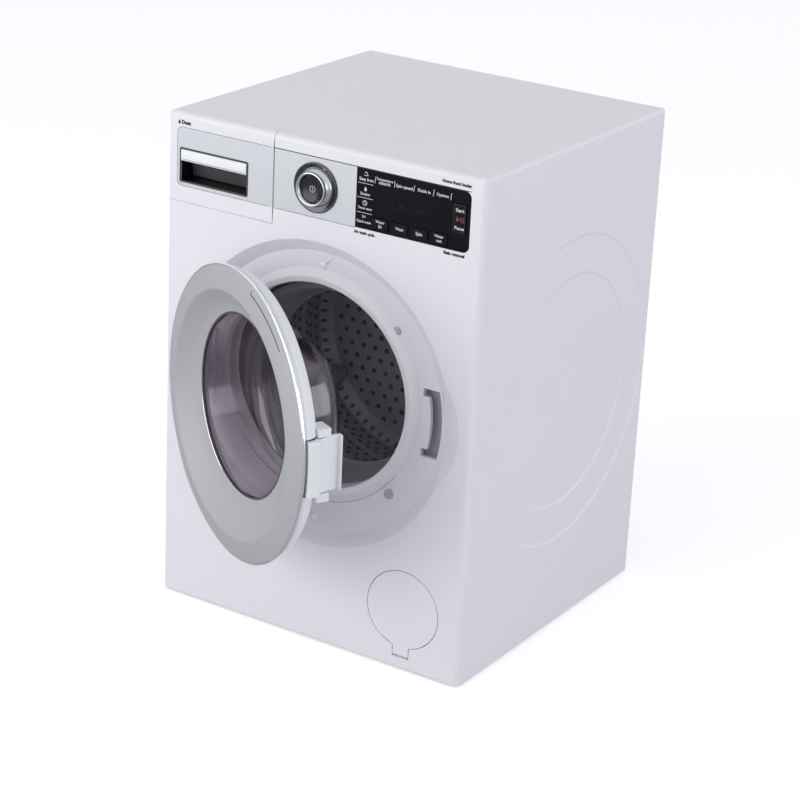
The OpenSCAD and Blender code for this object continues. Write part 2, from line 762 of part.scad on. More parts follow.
module motor_pinion() {
    color(brass) translate([motor_x, 0, motor_z]) {
        gear_y(pinion_teeth, motor_gear_y, motor_gear_y + gear_w, motor_angle + 180 + 180 / pinion_teeth);
        rod_y(motor_shaft_r, motor_gear_y - 1, motor_plate_y + plate_t + 3);
    }
}

module drive_plate_2d() {
    translate([(plate_x[0] + plate_x[1]) / 2, (plate_z[0] + plate_z[1]) / 2])
        rounded_rect(plate_x[1] - plate_x[0], plate_z[1] - plate_z[0], 4);
}

module gear_plate() {
    color(steel) difference() {
        plate_y(gear_plate_y, gear_plate_y + plate_t) drive_plate_2d();
        at_axis() rod_y(shaft_r + 1, gear_plate_y - 1, gear_plate_y + plate_t + 1);
        translate([idler_x, 0, idler_z]) rod_y(idler_pin_r, gear_plate_y - 1, gear_plate_y + plate_t + 1);
    }
}

module motor_plate() {
    color(steel) difference() {
        union() {
            plate_y(motor_plate_y, motor_plate_y + plate_t) drive_plate_2d();
            for (p = spacers) boss_y(p[0], p[1], 3, gear_plate_y + plate_t, motor_plate_y + 1);
        }
        translate([idler_x, 0, idler_z]) rod_y(idler_pin_r, motor_plate_y - 1, motor_plate_y + plate_t + 1);
        translate([motor_x, 0, motor_z]) rod_y(3, motor_plate_y - 1, motor_plate_y + plate_t + 1);
    }
}

module idler_pin() {
    color(steel) translate([idler_x, 0, idler_z]) rod_y(idler_pin_r, gear_plate_y, motor_plate_y + plate_t);
}

module drive_motor() {
    color(steel) translate([motor_x, 0, motor_z]) difference() {
        union() {
            rod_y(motor_r, motor_plate_y + plate_t, motor_plate_y + plate_t + motor_l);
            rod_y(3.5, motor_plate_y + plate_t + motor_l - 1, motor_plate_y + plate_t + motor_l + 1.5);
        }
        rod_y(motor_shaft_r + run_gap, motor_plate_y, motor_plate_y + plate_t + 4);
    }
}

module fill_duct() {
    color(dark_grey) translate([fill_x, fill_y, 0]) difference() {
        translate([0, 0, duct_foot_z])
            cylinder(r = duct_r, h = tray_z[0] - housing_gap - tray_wall - duct_foot_z);
        translate([0, 0, door_z + 50]) cylinder(r = duct_bore_r, h = 60);
    }
}

module drain_tube() {
    color(dark_grey) difference() {
        union() {
            translate([drain_x, drain_y, drain_z]) cylinder(r = duct_r, h = door_z - 60 - drain_z);
            translate([drain_x, 0, drain_z]) rod_y(duct_r, drain_y, panel_back_y - dish_depth - 2);
            translate([drain_x, drain_y, drain_z]) sphere(r = duct_r);
        }
        translate([drain_x, drain_y, drain_z]) cylinder(r = duct_bore_r, h = door_z);
        translate([drain_x, 0, drain_z]) rod_y(duct_bore_r, drain_y, panel_back_y);
    }
}

// ---- Door ------------------------------------------------------------------

// The dish between the ridge and the window: steep at the ridge, flatter at the window.
function dish_point(t, back) = [
    ridge_r - 1 - (ridge_r - 1 - window_r - 0.5) * t,
    ridge_y + 0.3 + (dish_y - ridge_y - 0.3) * sin(70 * t) / sin(70) + back];

module door_ring() {
    thick = 1.8;
    steps = 8;
    inner_r = window_r - window_rise - 1;
    color(silver) door_pose() difference() {
        at_axis() turned_y(concat(
            [[door_r - 1, rim_y + 1.4], [door_r, rim_y + 1.2], [door_r, rim_y + 0.4],
             [door_r - 0.5, rim_y - 0.1], [ridge_r + 0.8, ridge_y + 0.1], [ridge_r, ridge_y]],
            [for (i = [0:steps]) dish_point(i / steps, 0)],
            [[inner_r, dish_y + 0.1], [inner_r, dish_y + 0.7], [window_r + 5, dish_y + 0.7]],
            [for (i = [steps - 4:-1:0]) dish_point(i / steps, thick)],
            [[ridge_r + 0.5, ridge_y + thick], [door_r - 2.5, rim_y + 1.4]]));
        at_window() rod_y(window_r, ridge_y, dish_y + 2);
    }
}

module door_frame() {
    fw = frame_wall;
    arm_x = -inner_ring_r[1] + 0.2;
    color(white) door_pose() difference() {
        union() {
            at_axis() turned_y([
                [door_r - 1.6, rim_y + 1.7], [door_r - 1.2, rim_y + 3.5], [door_r - 2.4, rim_y + 7],
                [door_r - 4, frame_back_y], [inner_ring_r[1], frame_back_y],
                [inner_ring_r[1] - 0.6, inner_ring_y], [inner_ring_r[0], inner_ring_y],
                [inner_ring_r[0], frame_back_y], [bowl_r - window_rise - 1, frame_back_y],
                [bowl_r - window_rise - 1, frame_back_y - fw],
                [door_r - 5, frame_back_y - fw], [door_r - 3.4, rim_y + 3.5], [door_r - 3.6, rim_y + 1.7]]);
            // hinge knuckle of the door and the arm that carries it
            translate([hinge_x, hinge_y, door_z - door_knuckle_h / 2])
                cylinder(r = knuckle_r, h = door_knuckle_h);
            translate([0, 0, door_z - door_knuckle_h / 2]) linear_extrude(door_knuckle_h)
                polygon([[hinge_x, hinge_y - knuckle_r], [hinge_x + 3.5, frame_back_y - 0.1],
                         [arm_x, frame_back_y - 0.1], [arm_x, frame_back_y + 5],
                         [hinge_x + 6, hinge_y - 0.6], [hinge_x + 0.6, hinge_y + knuckle_r - 0.1]]);
            // screw bosses that reach forward to the ring
            at_axis() for (a = [30:60:330]) rotate([0, a, 0]) translate([door_r - 9, 0, 0])
                rod_y(2.4, rim_y + 1, frame_back_y - fw + 0.5);
        }
        translate([hinge_x, hinge_y, door_z - door_knuckle_h / 2 - 1])
            cylinder(r = hinge_pin_r + run_gap, h = door_knuckle_h + 2);
        at_window() rod_y(bowl_r + 0.8, frame_back_y - fw - 1, frame_back_y + 1);
        // notch for the finger plate of the latch lever
        translate([0, 0, latch_z]) block([latch_notch_x, rim_y + 2.2, -latch_half_h - 0.6],
                                         [door_r + 1, frame_back_y + 1, latch_half_h + 0.6]);
        at_axis() for (a = [30:60:330]) rotate([0, a, 0]) translate([door_r - 9, 0, 0])
            rod_y(1, rim_y, frame_back_y + 1);
    }
}

module door_screws() {
    color(steel) door_pose() at_axis() for (a = [30:60:330]) rotate([0, a, 0]) translate([door_r - 9, 0, 0])
        screw_forward(frame_back_y, 6, r = 1, head_r = 2, head_h = 0.9);
}

// Cuts its child by the slope that leads down the upper side of the bowl.
module bowl_side(inset) {
    intersection() {
        children();
        translate([0, bowl_back_y - inset / cos(bowl_slope), bowl_slope_z]) rotate([bowl_slope, 0, 0])
            block([-100, -100, -200], [100, 0, 100]);
    }
}

module door_bowl() {
    r = bowl_r;
    b = bowl_back_y;
    f = frame_back_y - frame_wall;
    outer = [[0, f - 1.2], [r, f - 1.2], [r - 0.8, b - 12], [r - 1.8, b - 6], [r - 4, b - 2.4],
             [r - 8, b - 0.5], [r - 13, b], [0, b]];
    color(clear) door_pose() at_window() difference() {
        union() {
            rod_y(bowl_flange_r, f - 1.2, f);
            bowl_side(0) turned_y(outer);
        }
        bowl_side(bowl_wall) turned_y([for (q = outer)
            [q[0] > 0 ? q[0] - bowl_wall : 0, q[1] < f ? q[1] - 1 : q[1] - bowl_wall]]);
    }
}

module bowl_seal() {
    f = frame_back_y - frame_wall;
    color(black) door_pose() at_window() turned_y([
        [window_r + 4, dish_y + 0.7], [window_r + 4, f - 1.2], [window_r - 0.9, f - 1.2],
        [window_r - 0.9, dish_y], [window_r - 0.1, dish_y - 0.1], [window_r - 0.05, dish_y + 0.7]]);
}

module latch_block() {
    color(white) door_pose() translate([0, 0, latch_z]) difference() {
        block([inner_ring_r[1] + 0.3, frame_back_y, -latch_block_half_h],
              [71, frame_back_y + 6.6, latch_block_half_h]);
        block([latch_notch_x - 0.4, frame_back_y - 1, -latch_half_h - 0.4],
              [72, frame_back_y + 9, latch_half_h + 0.4]);
        translate([latch_pin_x, latch_pin_y, -latch_pin_half_h])
            cylinder(r = latch_pin_r, h = 2 * latch_pin_half_h);
        translate([latch_pin_x, latch_pin_y, latch_half_h]) cylinder(r = 2.5, h = 2.6);
    }
}

module latch_pin() {
    color(steel) door_pose() translate([latch_pin_x, latch_pin_y, latch_z - latch_pin_half_h])
        cylinder(r = latch_pin_r, h = 2 * latch_pin_half_h);
}

module latch_spring() {
    wire = 0.4;
    coil_r = 1.9;
    color(steel) door_pose() translate([latch_pin_x, latch_pin_y, latch_z + latch_half_h + 0.5])
        rotate_extrude() for (i = [0:2]) translate([coil_r, wire + i * 1.6 * wire]) circle(wire, $fn = 24);
}

module latch_lever() {
    y = rim_y;
    catch_y = floor_back_y + 0.35;
    color(white) door_pose() difference() {
        translate([0, 0, latch_z - latch_half_h]) linear_extrude(2 * latch_half_h)
            polygon([[70.8, y + 2.8], [74.4, y + 2.6], [74.9, y + 4], [74.5, y + 8.4], [73.2, y + 9.6],
                     [71.6, y + 10.4], [70.6, y + 12], [70.2, y + 14], [69.4, y + 15.2], [69.4, catch_y],
                     [72, catch_y], [70.4, catch_y + 1.4], [67.6, catch_y + 1.4], [67, y + 15.4],
                     [65.6, y + 13.6], [65.4, y + 10.4], [67.4, y + 8.6], [70.4, y + 7.6]]);
        translate([latch_pin_x, latch_pin_y, latch_z - latch_half_h - 1])
            cylinder(r = latch_pin_r + run_gap, h = 2 * latch_half_h + 2);
    }
}

module hinge_bracket() {
    reach = door_knuckle_h / 2 + 0.3;
    color(white) difference() {
        union() {
            for (s = [-1, 1]) translate([0, 0, door_z + (s < 0 ? -reach - bracket_knuckle_h : reach)]) {
                translate([hinge_x, hinge_y, 0]) cylinder(r = knuckle_r, h = bracket_knuckle_h);
                linear_extrude(bracket_knuckle_h) polygon([
                    [hinge_x - 2.4, floor_y], [hinge_x + 5, floor_y], [hinge_x + 5, floor_y - 1.6],
                    [hinge_x + 1.8, hinge_y - 1.8], [hinge_x - 2.4, hinge_y]]);
            }
            block([hinge_x + 4, floor_y - 1.6, door_z - 22], [hinge_x + 10, floor_y, door_z + 22]);
        }
        translate([hinge_x, hinge_y, door_z - 30]) cylinder(r = hinge_pin_r, h = 60);
    }
}

module hinge_pin() {
    color(steel) translate([hinge_x, hinge_y, door_z - 21.5]) cylinder(r = hinge_pin_r, h = 43);
}

// ---- Drawer ------------------------------------------------------------------

module trim_2d() {
    w = trim_x[1] - trim_x[0];
    h = trim_z[1] - trim_z[0];
    translate([trim_x[0] + trim_corner_r, trim_z[0]]) square([w - trim_corner_r, h]);
    translate([trim_x[0], trim_z[0] + trim_corner_r]) square([trim_corner_r + 1, h - 2 * trim_corner_r]);
    for (z = [trim_z[0] + trim_corner_r, trim_z[1] - trim_corner_r])
        translate([trim_x[0] + trim_corner_r, z]) circle(trim_corner_r);
}

module drawer_front() {
    color(white) difference() {
        intersection() {
            cabinet_form();
            block([-half_w - 1, front_y - 1, drawer_z0 + seam],
                  [drawer_x1 - seam, front_y + drawer_front_t, cabinet_h + 1]);
        }
        plate_y(front_y - 1, front_y + 0.8) trim_2d();
        plate_y(front_y - 1, front_y + 9) area(well_x + [-1.2, 1.2], well_z + [-1.2, 1.2]);
    }
}

module drawer_trim() {
    color(silver) plate_y(front_y - 0.1, front_y + 0.8) difference() {
        trim_2d();
        area(well_x, well_z);
    }
}

module grip_well() {
    y0 = front_y + 0.8;
    color(black) difference() {
        plate_y(y0, front_y + well_d + 1.2) area(well_x + [-1.2, 1.2], well_z + [-1.2, 1.2]);
        plate_y(y0 - 1, front_y + well_d) area(well_x, well_z);
    }
}

module drawer_handle() {
    z1 = well_z[1] - 0.2;
    length = well_x[1] - well_x[0] - 0.6;
    color(chrome) translate([well_x[0] + 0.3, 0, z1]) rotate([90, 0, 90]) linear_extrude(length)
        polygon([[front_y + 0.8, 0], [front_y - 0.2, 0], [front_y - 0.7, -0.6],
                 [front_y - 0.7, -handle_h + 0.5], [front_y - 0.2, -handle_h], [front_y + 1.6, -handle_h],
                 [front_y + 3, -handle_h + 2],
                 [front_y + 3, 0]]);
}

module drawer_tray() {
    y0 = front_y + drawer_front_t;
    split_x = (tray_x[0] + tray_x[1]) / 2;
    color(white) difference() {
        block([tray_x[0], y0, tray_z[0]], [tray_x[1], tray_back_y, tray_z[1] - 1]);
        // room for the finger well
        block([tray_x[0] - 1, y0 - 1, well_z[0] - 1.6],
              [well_x[1] + 1.6, front_y + well_d + 1.6, tray_z[1] + 1]);
        for (r = [[tray_x[0] + tray_wall, split_x - tray_wall / 2],
                  [split_x + tray_wall / 2, tray_x[1] - tray_wall]])
            block([r[0], front_y + well_d + 3.2, tray_z[0] + tray_wall],
                  [r[1], tray_back_y - tray_wall, tray_z[1] + 1]);
    }
}

module drawer_housing() {
    g = housing_gap;
    w = tray_wall;
    color(dark_grey) difference() {
        block([tray_x[0] - g - w, pocket_y + wall, tray_z[0] - g - w],
              [tray_x[1] + g + w, tray_back_y + 4, tray_z[1] + g + w]);
        block([tray_x[0] - g, pocket_y, tray_z[0] - g], [tray_x[1] + g, tray_back_y + 4 - w, tray_z[1] + g]);
        translate([fill_x, fill_y, tray_z[0] - 10]) cylinder(r = duct_bore_r, h = 12);
    }
}

// ---- Controls ----------------------------------------------------------------

// Rounded on the right, square on the left.
module display_outline(xr) {
    r = display_corner_r;
    h = fascia_z[1] - fascia_z[0];
    translate([xr[0], fascia_z[0]]) square([xr[1] - xr[0] - r, h]);
    translate([xr[1] - r - 1, fascia_z[0] + r]) square([r + 1, h - 2 * r]);
    for (z = [fascia_z[0] + r, fascia_z[1] - r]) translate([xr[1] - r, z]) circle(r);
}

module fascia_plate() {
    color(silver) difference() {
        plate_y(front_y - 0.1, fascia_y) area([fascia_x0 + 0.2, fascia_x1 - 0.05], fascia_z + [0.1, -0.1]);
        translate([knob_x, 0, knob_z]) rod_y(hollow_shaft_r + 0.6, front_y - 1, fascia_y + 1);
    }
}

module display_panel() {
    color(black) difference() {
        plate_y(front_y - 0.1, fascia_y) intersection() {
            display_outline([fascia_x1 + 0.05, display_x1 - 0.1]);
            area([0, 200], fascia_z + [0.1, -0.1]);
        }
        key_openings(key_gap, front_y - 1, fascia_y + 1);
    }
}

module knob_bezel() {
    y = front_y - 0.1;
    color(dark_grey) translate([knob_x, 0, knob_z]) turned_y([
        [knob_r + 0.3, y], [bezel_r, y], [bezel_r, y - 0.5], [bezel_r - 0.4, y - 0.9],
        [knob_r + 0.9, y - 0.3], [knob_r + 0.3, y - 0.3]]);
}

module knob_ring() {
    y = knob_y;
    color(chrome) translate([knob_x, 0, knob_z]) turned_y([
        [stem_r + 0.3, board_y - 4.2], [hollow_shaft_r, board_y - 4.2], [hollow_shaft_r, front_y - 0.6],
        [knob_r, front_y - 0.6], [knob_r, front_y - 1.4], [knob_r - 1, y + 2], [knob_r - 0.8, y + 0.5],
        [knob_r - 1.1, y], [button_r + 0.9, y], [button_r + 0.2, y + 0.7], [button_r + 0.2, y + 3.2],
        [stem_r + 0.3, y + 3.2]]);
}

module power_button() {
    y = knob_y + 0.4;
    stem_end_y = board_y - 3.2;
    color(black) translate([knob_x, 0, knob_z]) turned_y([
        [0, y + 0.9], [button_r * 0.5, y + 0.7], [button_r - 0.8, y + 0.1], [button_r - 0.2, y],
        [button_r, y + 0.3], [button_r, y + 2.1], [stem_r, y + 2.1], [stem_r, stem_end_y], [0, stem_end_y]]);
}

module key_cap(x, z, w, h) {
    y = front_y - key_proud;
    translate([x, 0, z]) {
        plate_y(y, key_back_y - 1) square([w, h], center = true);
        plate_y(key_back_y - 1.6, key_back_y) square([w + 1.4, h + 1.4], center = true);
    }
}

module program_key(i) { color(black) key_cap(key_x0 + i * key_pitch, key_z, key_w, key_h); }
module key_fill() { program_key(0); }
module key_wash() { program_key(1); }
module key_spin() { program_key(2); }
module key_drain() { program_key(3); }
module key_start() { color(black) key_cap(start_x, start_z, start_w, start_h); }

module control_board() {
    color(green) difference() {
        plate_y(board_y, board_y + board_t) area(board_x, board_z);
        for (x = board_post_x, z = board_post_z) boss_y(x, z, 1, board_y - 1, board_y + board_t + 1);
    }
}

module display_module() {
    color(dark_grey) plate_y(inner_front_y + 0.6, board_y)
        area([31, 67], [cabinet_h - 25.5, cabinet_h - 15.5]);
}

module selector_switch() {
    color(dark_grey) translate([knob_x, 0, knob_z]) difference() {
        plate_y(board_y - 6, board_y) square(13, center = true);
        rod_y(hollow_shaft_r + run_gap, board_y - 7, board_y - 4);
        rod_y(stem_r + 0.4, board_y - 5, board_y - 2.4);
    }
}

module key_switches() {
    y0 = key_back_y + key_travel + 0.1;
    color(steel) {
        for (i = [0:3]) plate_y(y0, board_y)
            translate([key_x0 + i * key_pitch, key_z]) square(4.5, center = true);
        plate_y(y0, board_y) translate([start_x, start_z]) square(6, center = true);
    }
}

module speaker() {
    color(dark_grey) translate([-55, 42, base_top_z]) {
        cylinder(r = 14, h = 3);
        cylinder(r = 7, h = 8);
    }
}

// ---- Batteries -----------------------------------------------------------------

module battery_box() {
    y1 = panel_front_y;
    y0 = panel_back_y - 2 - bay_d;
    color(dark_grey) difference() {
        union() {
            block([-bay_w / 2 - bay_wall, y0 - bay_wall, bay_z[0] - bay_wall],
                  [bay_w / 2 + bay_wall, y1, bay_z[1] + bay_wall]);
            block([-5, y0 + 6, bay_z[1]], [5, y1, battery_door_z1]);
        }
        translate([0, 0, battery_screw_z]) rod_y(screw_r, y1 - 8, y1 + 1);
        block([-bay_w / 2, y0 + 4, bay_z[0]], [bay_w / 2, y1 + 1, bay_z[1]]);
        for (i = [0:3]) translate([(i - 1.5) * cell_pitch, y0 + cell_r, bay_z[0]])
            cylinder(r = cell_r, h = bay_z[1] - bay_z[0]);
    }
}

module battery_contacts() {
    y0 = panel_back_y - 2 - bay_d;
    wire = 0.5;
    color(chrome) for (i = [0:3]) {
        flip = i % 2;
        x = (i - 1.5) * cell_pitch;
        translate([x, y0 + cell_r, flip ? bay_z[0] : bay_z[1]]) mirror([0, 0, flip ? 0 : 1]) {
            translate([0, 0, 0.25]) cube([8, 8, 0.5], center = true);
            rotate_extrude() for (k = [0:2]) translate([3.2 - 0.6 * k, 0.9 + 0.8 * k]) circle(wire, $fn = 20);
        }
        translate([x, y0 + cell_r, flip ? bay_z[1] - 0.25 : bay_z[0] + 0.25])
            cube([8, 8, 0.5], center = true);
    }
}

module battery_door() {
    color(white) difference() {
        union() {
            plate_y(panel_back_y - 2, panel_back_y)
                area([-bay_w / 2, bay_w / 2], [battery_axis_z, battery_door_z1]);
            // hinge edge with its two pins
            translate([-bay_w / 2, battery_axis_y, battery_axis_z]) rotate([0, 90, 0])
                cylinder(r = 1, h = bay_w);
            translate([-bay_w / 2 - battery_pin_l, battery_axis_y, battery_axis_z]) rotate([0, 90, 0])
                cylinder(r = battery_pin_r, h = bay_w + 2 * battery_pin_l);
            // grip ribs
            for (i = [0:3]) translate([0, 0, bay_z[0] + 24 + 3 * i])
                block([-10, panel_back_y - 0.5, 0], [10, panel_back_y + 0.5, 1]);
        }
        translate([0, 0, battery_screw_z]) rod_y(screw_r, panel_back_y - 3, panel_back_y + 1);
        translate([0, 0, battery_screw_z]) rod_y(head_seat_r, panel_back_y - 1, panel_back_y + 1);
    }
}

module battery_screw() {
    // turned back out of its boss, it stays in the lid
    color(steel) translate([0, 0, battery_screw_z]) difference() {
        union() {
            rod_y(screw_head_r, panel_back_y - 1, panel_back_y - 0.1);
            rod_y(screw_r, panel_back_y - 2, panel_back_y - 0.5);
        }
        block([-0.4, panel_back_y - 0.6, -2], [0.4, panel_back_y, 2]);
        block([-2, panel_back_y - 0.6, -0.4], [2, panel_back_y, 0.4]);
    }
}

cabinet_shell();
rear_panel();
base_plate();
rubber_feet();
tub();
shaft_bush();
gear_plate();
motor_plate();
idler_pin();
drive_motor();
control_board();
display_module();
selector_switch();
key_switches();
speaker();
battery_box();
battery_contacts();
fascia_plate();
display_panel();
knob_bezel();
latch_strike();
door_gasket();
drawer_housing();
fill_duct();
drain_tube();
hinge_bracket();
hinge_pin();
case_screws();
base_screws();
inner_screws();
drum_shell();
drum_paddles();
drum_shaft();
drum_gear();
idler_gear();
motor_pinion();
door_ring();
door_frame();
door_bowl();
bowl_seal();
latch_block();
latch_pin();
latch_spring();
door_screws();
latch_lever();
drawer_front();
drawer_trim();
drawer_handle();
grip_well();
drawer_tray();
knob_ring();
power_button();
key_fill();
key_wash();
key_spin();
key_drain();
key_start();
service_flap();
battery_door();
battery_screw();
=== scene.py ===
# %% [markdown]
# # A toy washing machine
# The part arrives as a finished set of solids, all in one frame and in metres. This lesson gives those
# solids their real surfaces, and rebuilds in finer detail the pieces that a hand or an eye meets first:
# the door and its clear bowl, the control knob, the display and the drawer pull. The solids could simply
# be painted, but moulded plastic and turned metal are known by their small edges, so those are modelled.

# %% Open the frame
import json
from math import atan2, cos, hypot, pi, radians, sin

import bpy
from mathutils import Matrix, Vector

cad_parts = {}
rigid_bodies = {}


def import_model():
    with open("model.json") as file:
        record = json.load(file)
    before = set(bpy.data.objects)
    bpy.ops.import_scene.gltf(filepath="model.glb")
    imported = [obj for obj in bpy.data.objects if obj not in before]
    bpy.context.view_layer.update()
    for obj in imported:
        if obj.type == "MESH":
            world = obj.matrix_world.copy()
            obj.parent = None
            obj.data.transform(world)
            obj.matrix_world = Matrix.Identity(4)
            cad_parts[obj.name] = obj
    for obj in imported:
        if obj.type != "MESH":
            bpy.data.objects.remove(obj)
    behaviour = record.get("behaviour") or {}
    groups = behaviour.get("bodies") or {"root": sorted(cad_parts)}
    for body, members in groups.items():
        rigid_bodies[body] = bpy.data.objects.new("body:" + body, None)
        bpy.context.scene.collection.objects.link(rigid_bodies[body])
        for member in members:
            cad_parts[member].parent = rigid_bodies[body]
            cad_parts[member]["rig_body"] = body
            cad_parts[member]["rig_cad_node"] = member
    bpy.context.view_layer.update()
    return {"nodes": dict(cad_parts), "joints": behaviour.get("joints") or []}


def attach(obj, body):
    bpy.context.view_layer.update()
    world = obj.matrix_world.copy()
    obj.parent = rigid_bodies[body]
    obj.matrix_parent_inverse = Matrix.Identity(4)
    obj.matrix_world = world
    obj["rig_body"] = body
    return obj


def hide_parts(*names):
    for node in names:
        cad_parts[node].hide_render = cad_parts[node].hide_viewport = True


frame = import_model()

MM = 0.001
nodes = frame["nodes"]
joints = {joint["name"]: joint for joint in frame["joints"]}
AXLE_Z = round(joints["drum_spin"]["pos_m"][2] / MM, 3)
bpy.ops.object.select_all(action="DESELECT")
print("the drum's axle lies", AXLE_Z, "mm above the floor")

# %% [markdown]
# ## Where the eye is
# A small toy is usually seen from above and from one side, so that its front, its top and one flank
# all show. The camera could be aimed with a constraint, but its place is worked out here instead: two
# angles and a distance give the place, and three directions at right angles give its turn.

# %% The camera
AZIMUTH = radians(32.1923)
ELEVATION = radians(21.2696)
ROLL = radians(2.842)
AIM = Vector((-5.05, 0, 102.55)) * MM
DISTANCE = 1293.63 * MM
LENS = 110.02
SENSOR = 36

back = Vector((sin(AZIMUTH) * cos(ELEVATION), -cos(AZIMUTH) * cos(ELEVATION), sin(ELEVATION)))
level = Vector((cos(AZIMUTH), sin(AZIMUTH), 0))
upright = back.cross(level)
right = level * cos(ROLL) + upright * sin(ROLL)
up = upright * cos(ROLL) - level * sin(ROLL)

camera_data = bpy.data.cameras.new("eye")
camera_data.lens = LENS
camera_data.sensor_width = SENSOR
camera = bpy.data.objects.new("eye", camera_data)
bpy.context.scene.collection.objects.link(camera)
turn = Matrix((right, up, back)).transposed().to_4x4()
camera.matrix_world = Matrix.Translation(AIM + back * DISTANCE) @ turn
bpy.context.scene.camera = camera
bpy.context.scene.view_settings.view_transform = "Standard"
print("camera at", [round(v, 3) for v in camera.matrix_world.translation])

# %% [markdown]
# ## Sums on sockets
# A shader is a net of nodes, and most of them only add, multiply or compare. Wiring each by hand hides
# the idea, so a small class stands for one output socket and turns ordinary sums into Math nodes.
# A second class holds one material, and adds any other kind of node with one method.

# %% A socket that can be added and multiplied
def maths(operation, *terms):
    """A Math node on sockets and plain numbers, at least one of them a socket."""
    tree = next(term.tree for term in terms if isinstance(term, Wire))
    step = tree.nodes.new("ShaderNodeMath")
    step.operation = operation
    for place, term in enumerate(terms):
        if isinstance(term, Wire):
            tree.links.new(term.socket, step.inputs[place])
        else:
            step.inputs[place].default_value = term
    return Wire(tree, step.outputs[0])


class Wire:
    """One output socket; a sum on it is a Math node in its tree."""

    def __init__(self, tree, socket):
        self.tree = tree
        self.socket = socket

    def __add__(self, other):
        return maths("ADD", self, other)

    def __sub__(self, other):
        return maths("SUBTRACT", self, other)

    def __rsub__(self, other):
        return maths("SUBTRACT", other, self)

    def __mul__(self, other):
        return maths("MULTIPLY", self, other)

    def __truediv__(self, other):
        return maths("DIVIDE", self, other)

    def __rtruediv__(self, other):
        return maths("DIVIDE", other, self)

    def __gt__(self, other):
        return maths("GREATER_THAN", self, other)

    def __lt__(self, other):
        return maths("LESS_THAN", self, other)

    __radd__ = __add__
    __rmul__ = __mul__


# %% A material on its way
class Finish:
    """A material and its shader. The words after the name are sockets that stay the same all over."""

    def __init__(self, name, **fixed):
        self.material = bpy.data.materials.new(name)
        self.material.use_nodes = True
        self.tree = self.material.node_tree
        self.shader = self.tree.nodes["Principled BSDF"]
        for socket, value in fixed.items():
            self.shader.inputs[socket.replace("_", " ")].default_value = value

    def node(self, kind, settings=None, sockets=None, output=0):
        """A node of any kind: its settings first, then the values or links of its sockets."""
        made = self.tree.nodes.new(kind)
        for setting, value in (settings or {}).items():
            setattr(made, setting, value)
        for socket, value in (sockets or {}).items():
            if isinstance(value, Wire):
                self.tree.links.new(value.socket, made.inputs[socket])
            else:
                made.inputs[socket].default_value = value
        return Wire(self.tree, made.outputs[output])

    def feed(self, socket, wire):
        self.tree.links.new(wire.socket, self.shader.inputs[socket])

    def millimetres(self):
        place = self.node("ShaderNodeTexCoord", None, None, "Object")
        return self.node("ShaderNodeVectorMath", {"operation": "SCALE"}, {"Vector": place, "Scale": 1 / MM})

    def axis(self, vector, which):
        return self.node("ShaderNodeSeparateXYZ", None, {"Vector": vector}, which)

    def noise(self, vector, per_mm, detail=2):
        return self.node("ShaderNodeTexNoise", None, {"Vector": vector, "Scale": per_mm, "Detail": detail})

    def between(self, amount, first, second):
        return self.node("ShaderNodeMix", {"data_type": "RGBA"}, {0: amount, 6: first, 7: second}, 2)

    def bump(self, height, depth_mm):
        sockets = {"Height": height, "Distance": depth_mm * MM, "Strength": 1}
        self.feed("Normal", self.node("ShaderNodeBump", None, sockets))


def tint(code):
    """A colour as it looks on a screen, such as '#edecf1', in the plain light values shaders use."""
    shown = [int(code[place : place + 2], 16) / 255 for place in (1, 3, 5)]
    return tuple(c / 12.92 if c <= 0.04045 else ((c + 0.055) / 1.055) ** 2.4 for c in shown) + (1,)


print("half grey is", round(tint("#bcbcbc")[0], 3))

# %% [markdown]
# ## Light and floor
# A plain pale table and soft light from large lamps show shape without hard glare. A bright sky alone
# would be soft too, but it would light every side alike and the box would look flat. So the sky only
# gives the even part of the light. A large lamp stands low in front, a little to the left, and lights
# the front, and a second, cooler one stands on the right and lifts the flank. The table is brighter to
# the eye than it lights the toy, so that it stays pale and throws little light back up.

# %% The table
TABLE_GLOW = 0.36  # added only where the camera looks at it

bpy.ops.mesh.primitive_plane_add(size=14, location=(0, 0, 0))
table = bpy.context.object
table.name = "table"

matt = Finish("pale_table", Roughness=0.6, Specular_IOR_Level=0.2)
grain = matt.noise(matt.millimetres(), 0.02, 3)
seen = matt.node("ShaderNodeLightPath", None, None, "Is Camera Ray")
lit = matt.between(grain, tint("#c2c2c6"), tint("#bebec2"))
matt.feed("Base Color", matt.between(seen, lit, tint("#f6f6f8")))
glow = matt.node("ShaderNodeEmission", None, {"Color": (1, 1, 1, 1), "Strength": seen * TABLE_GLOW})
body_shader = Wire(matt.tree, matt.shader.outputs[0])
both = matt.node("ShaderNodeAddShader", None, {0: body_shader, 1: glow})
out = matt.tree.nodes["Material Output"]
matt.tree.links.new(both.socket, out.inputs["Surface"])
table.data.materials.append(matt.material)
print("table finished:", matt.material.name)

# %% The sky
SKY_FILL = 0.6  # as a light
SKY_SEEN = 1.0  # as it is seen, mirrored or looked at through the bowl

sky = bpy.data.worlds.new("soft_sky")
bpy.context.scene.world = sky
sky.use_nodes = True
tree = sky.node_tree
fill = tree.nodes["Background"]
fill.inputs["Color"].default_value = (0.96, 0.98, 1.0, 1)
path = tree.nodes.new("ShaderNodeLightPath")
seen = Wire(tree, path.outputs["Is Camera Ray"]) + Wire(tree, path.outputs["Is Glossy Ray"])
seen = seen + Wire(tree, path.outputs["Is Transmission Ray"])
strength = maths("MINIMUM", seen, 1) * (SKY_SEEN - SKY_FILL) + SKY_FILL
tree.links.new(strength.socket, fill.inputs["Strength"])
print("the sky fills the shadows with", SKY_FILL)


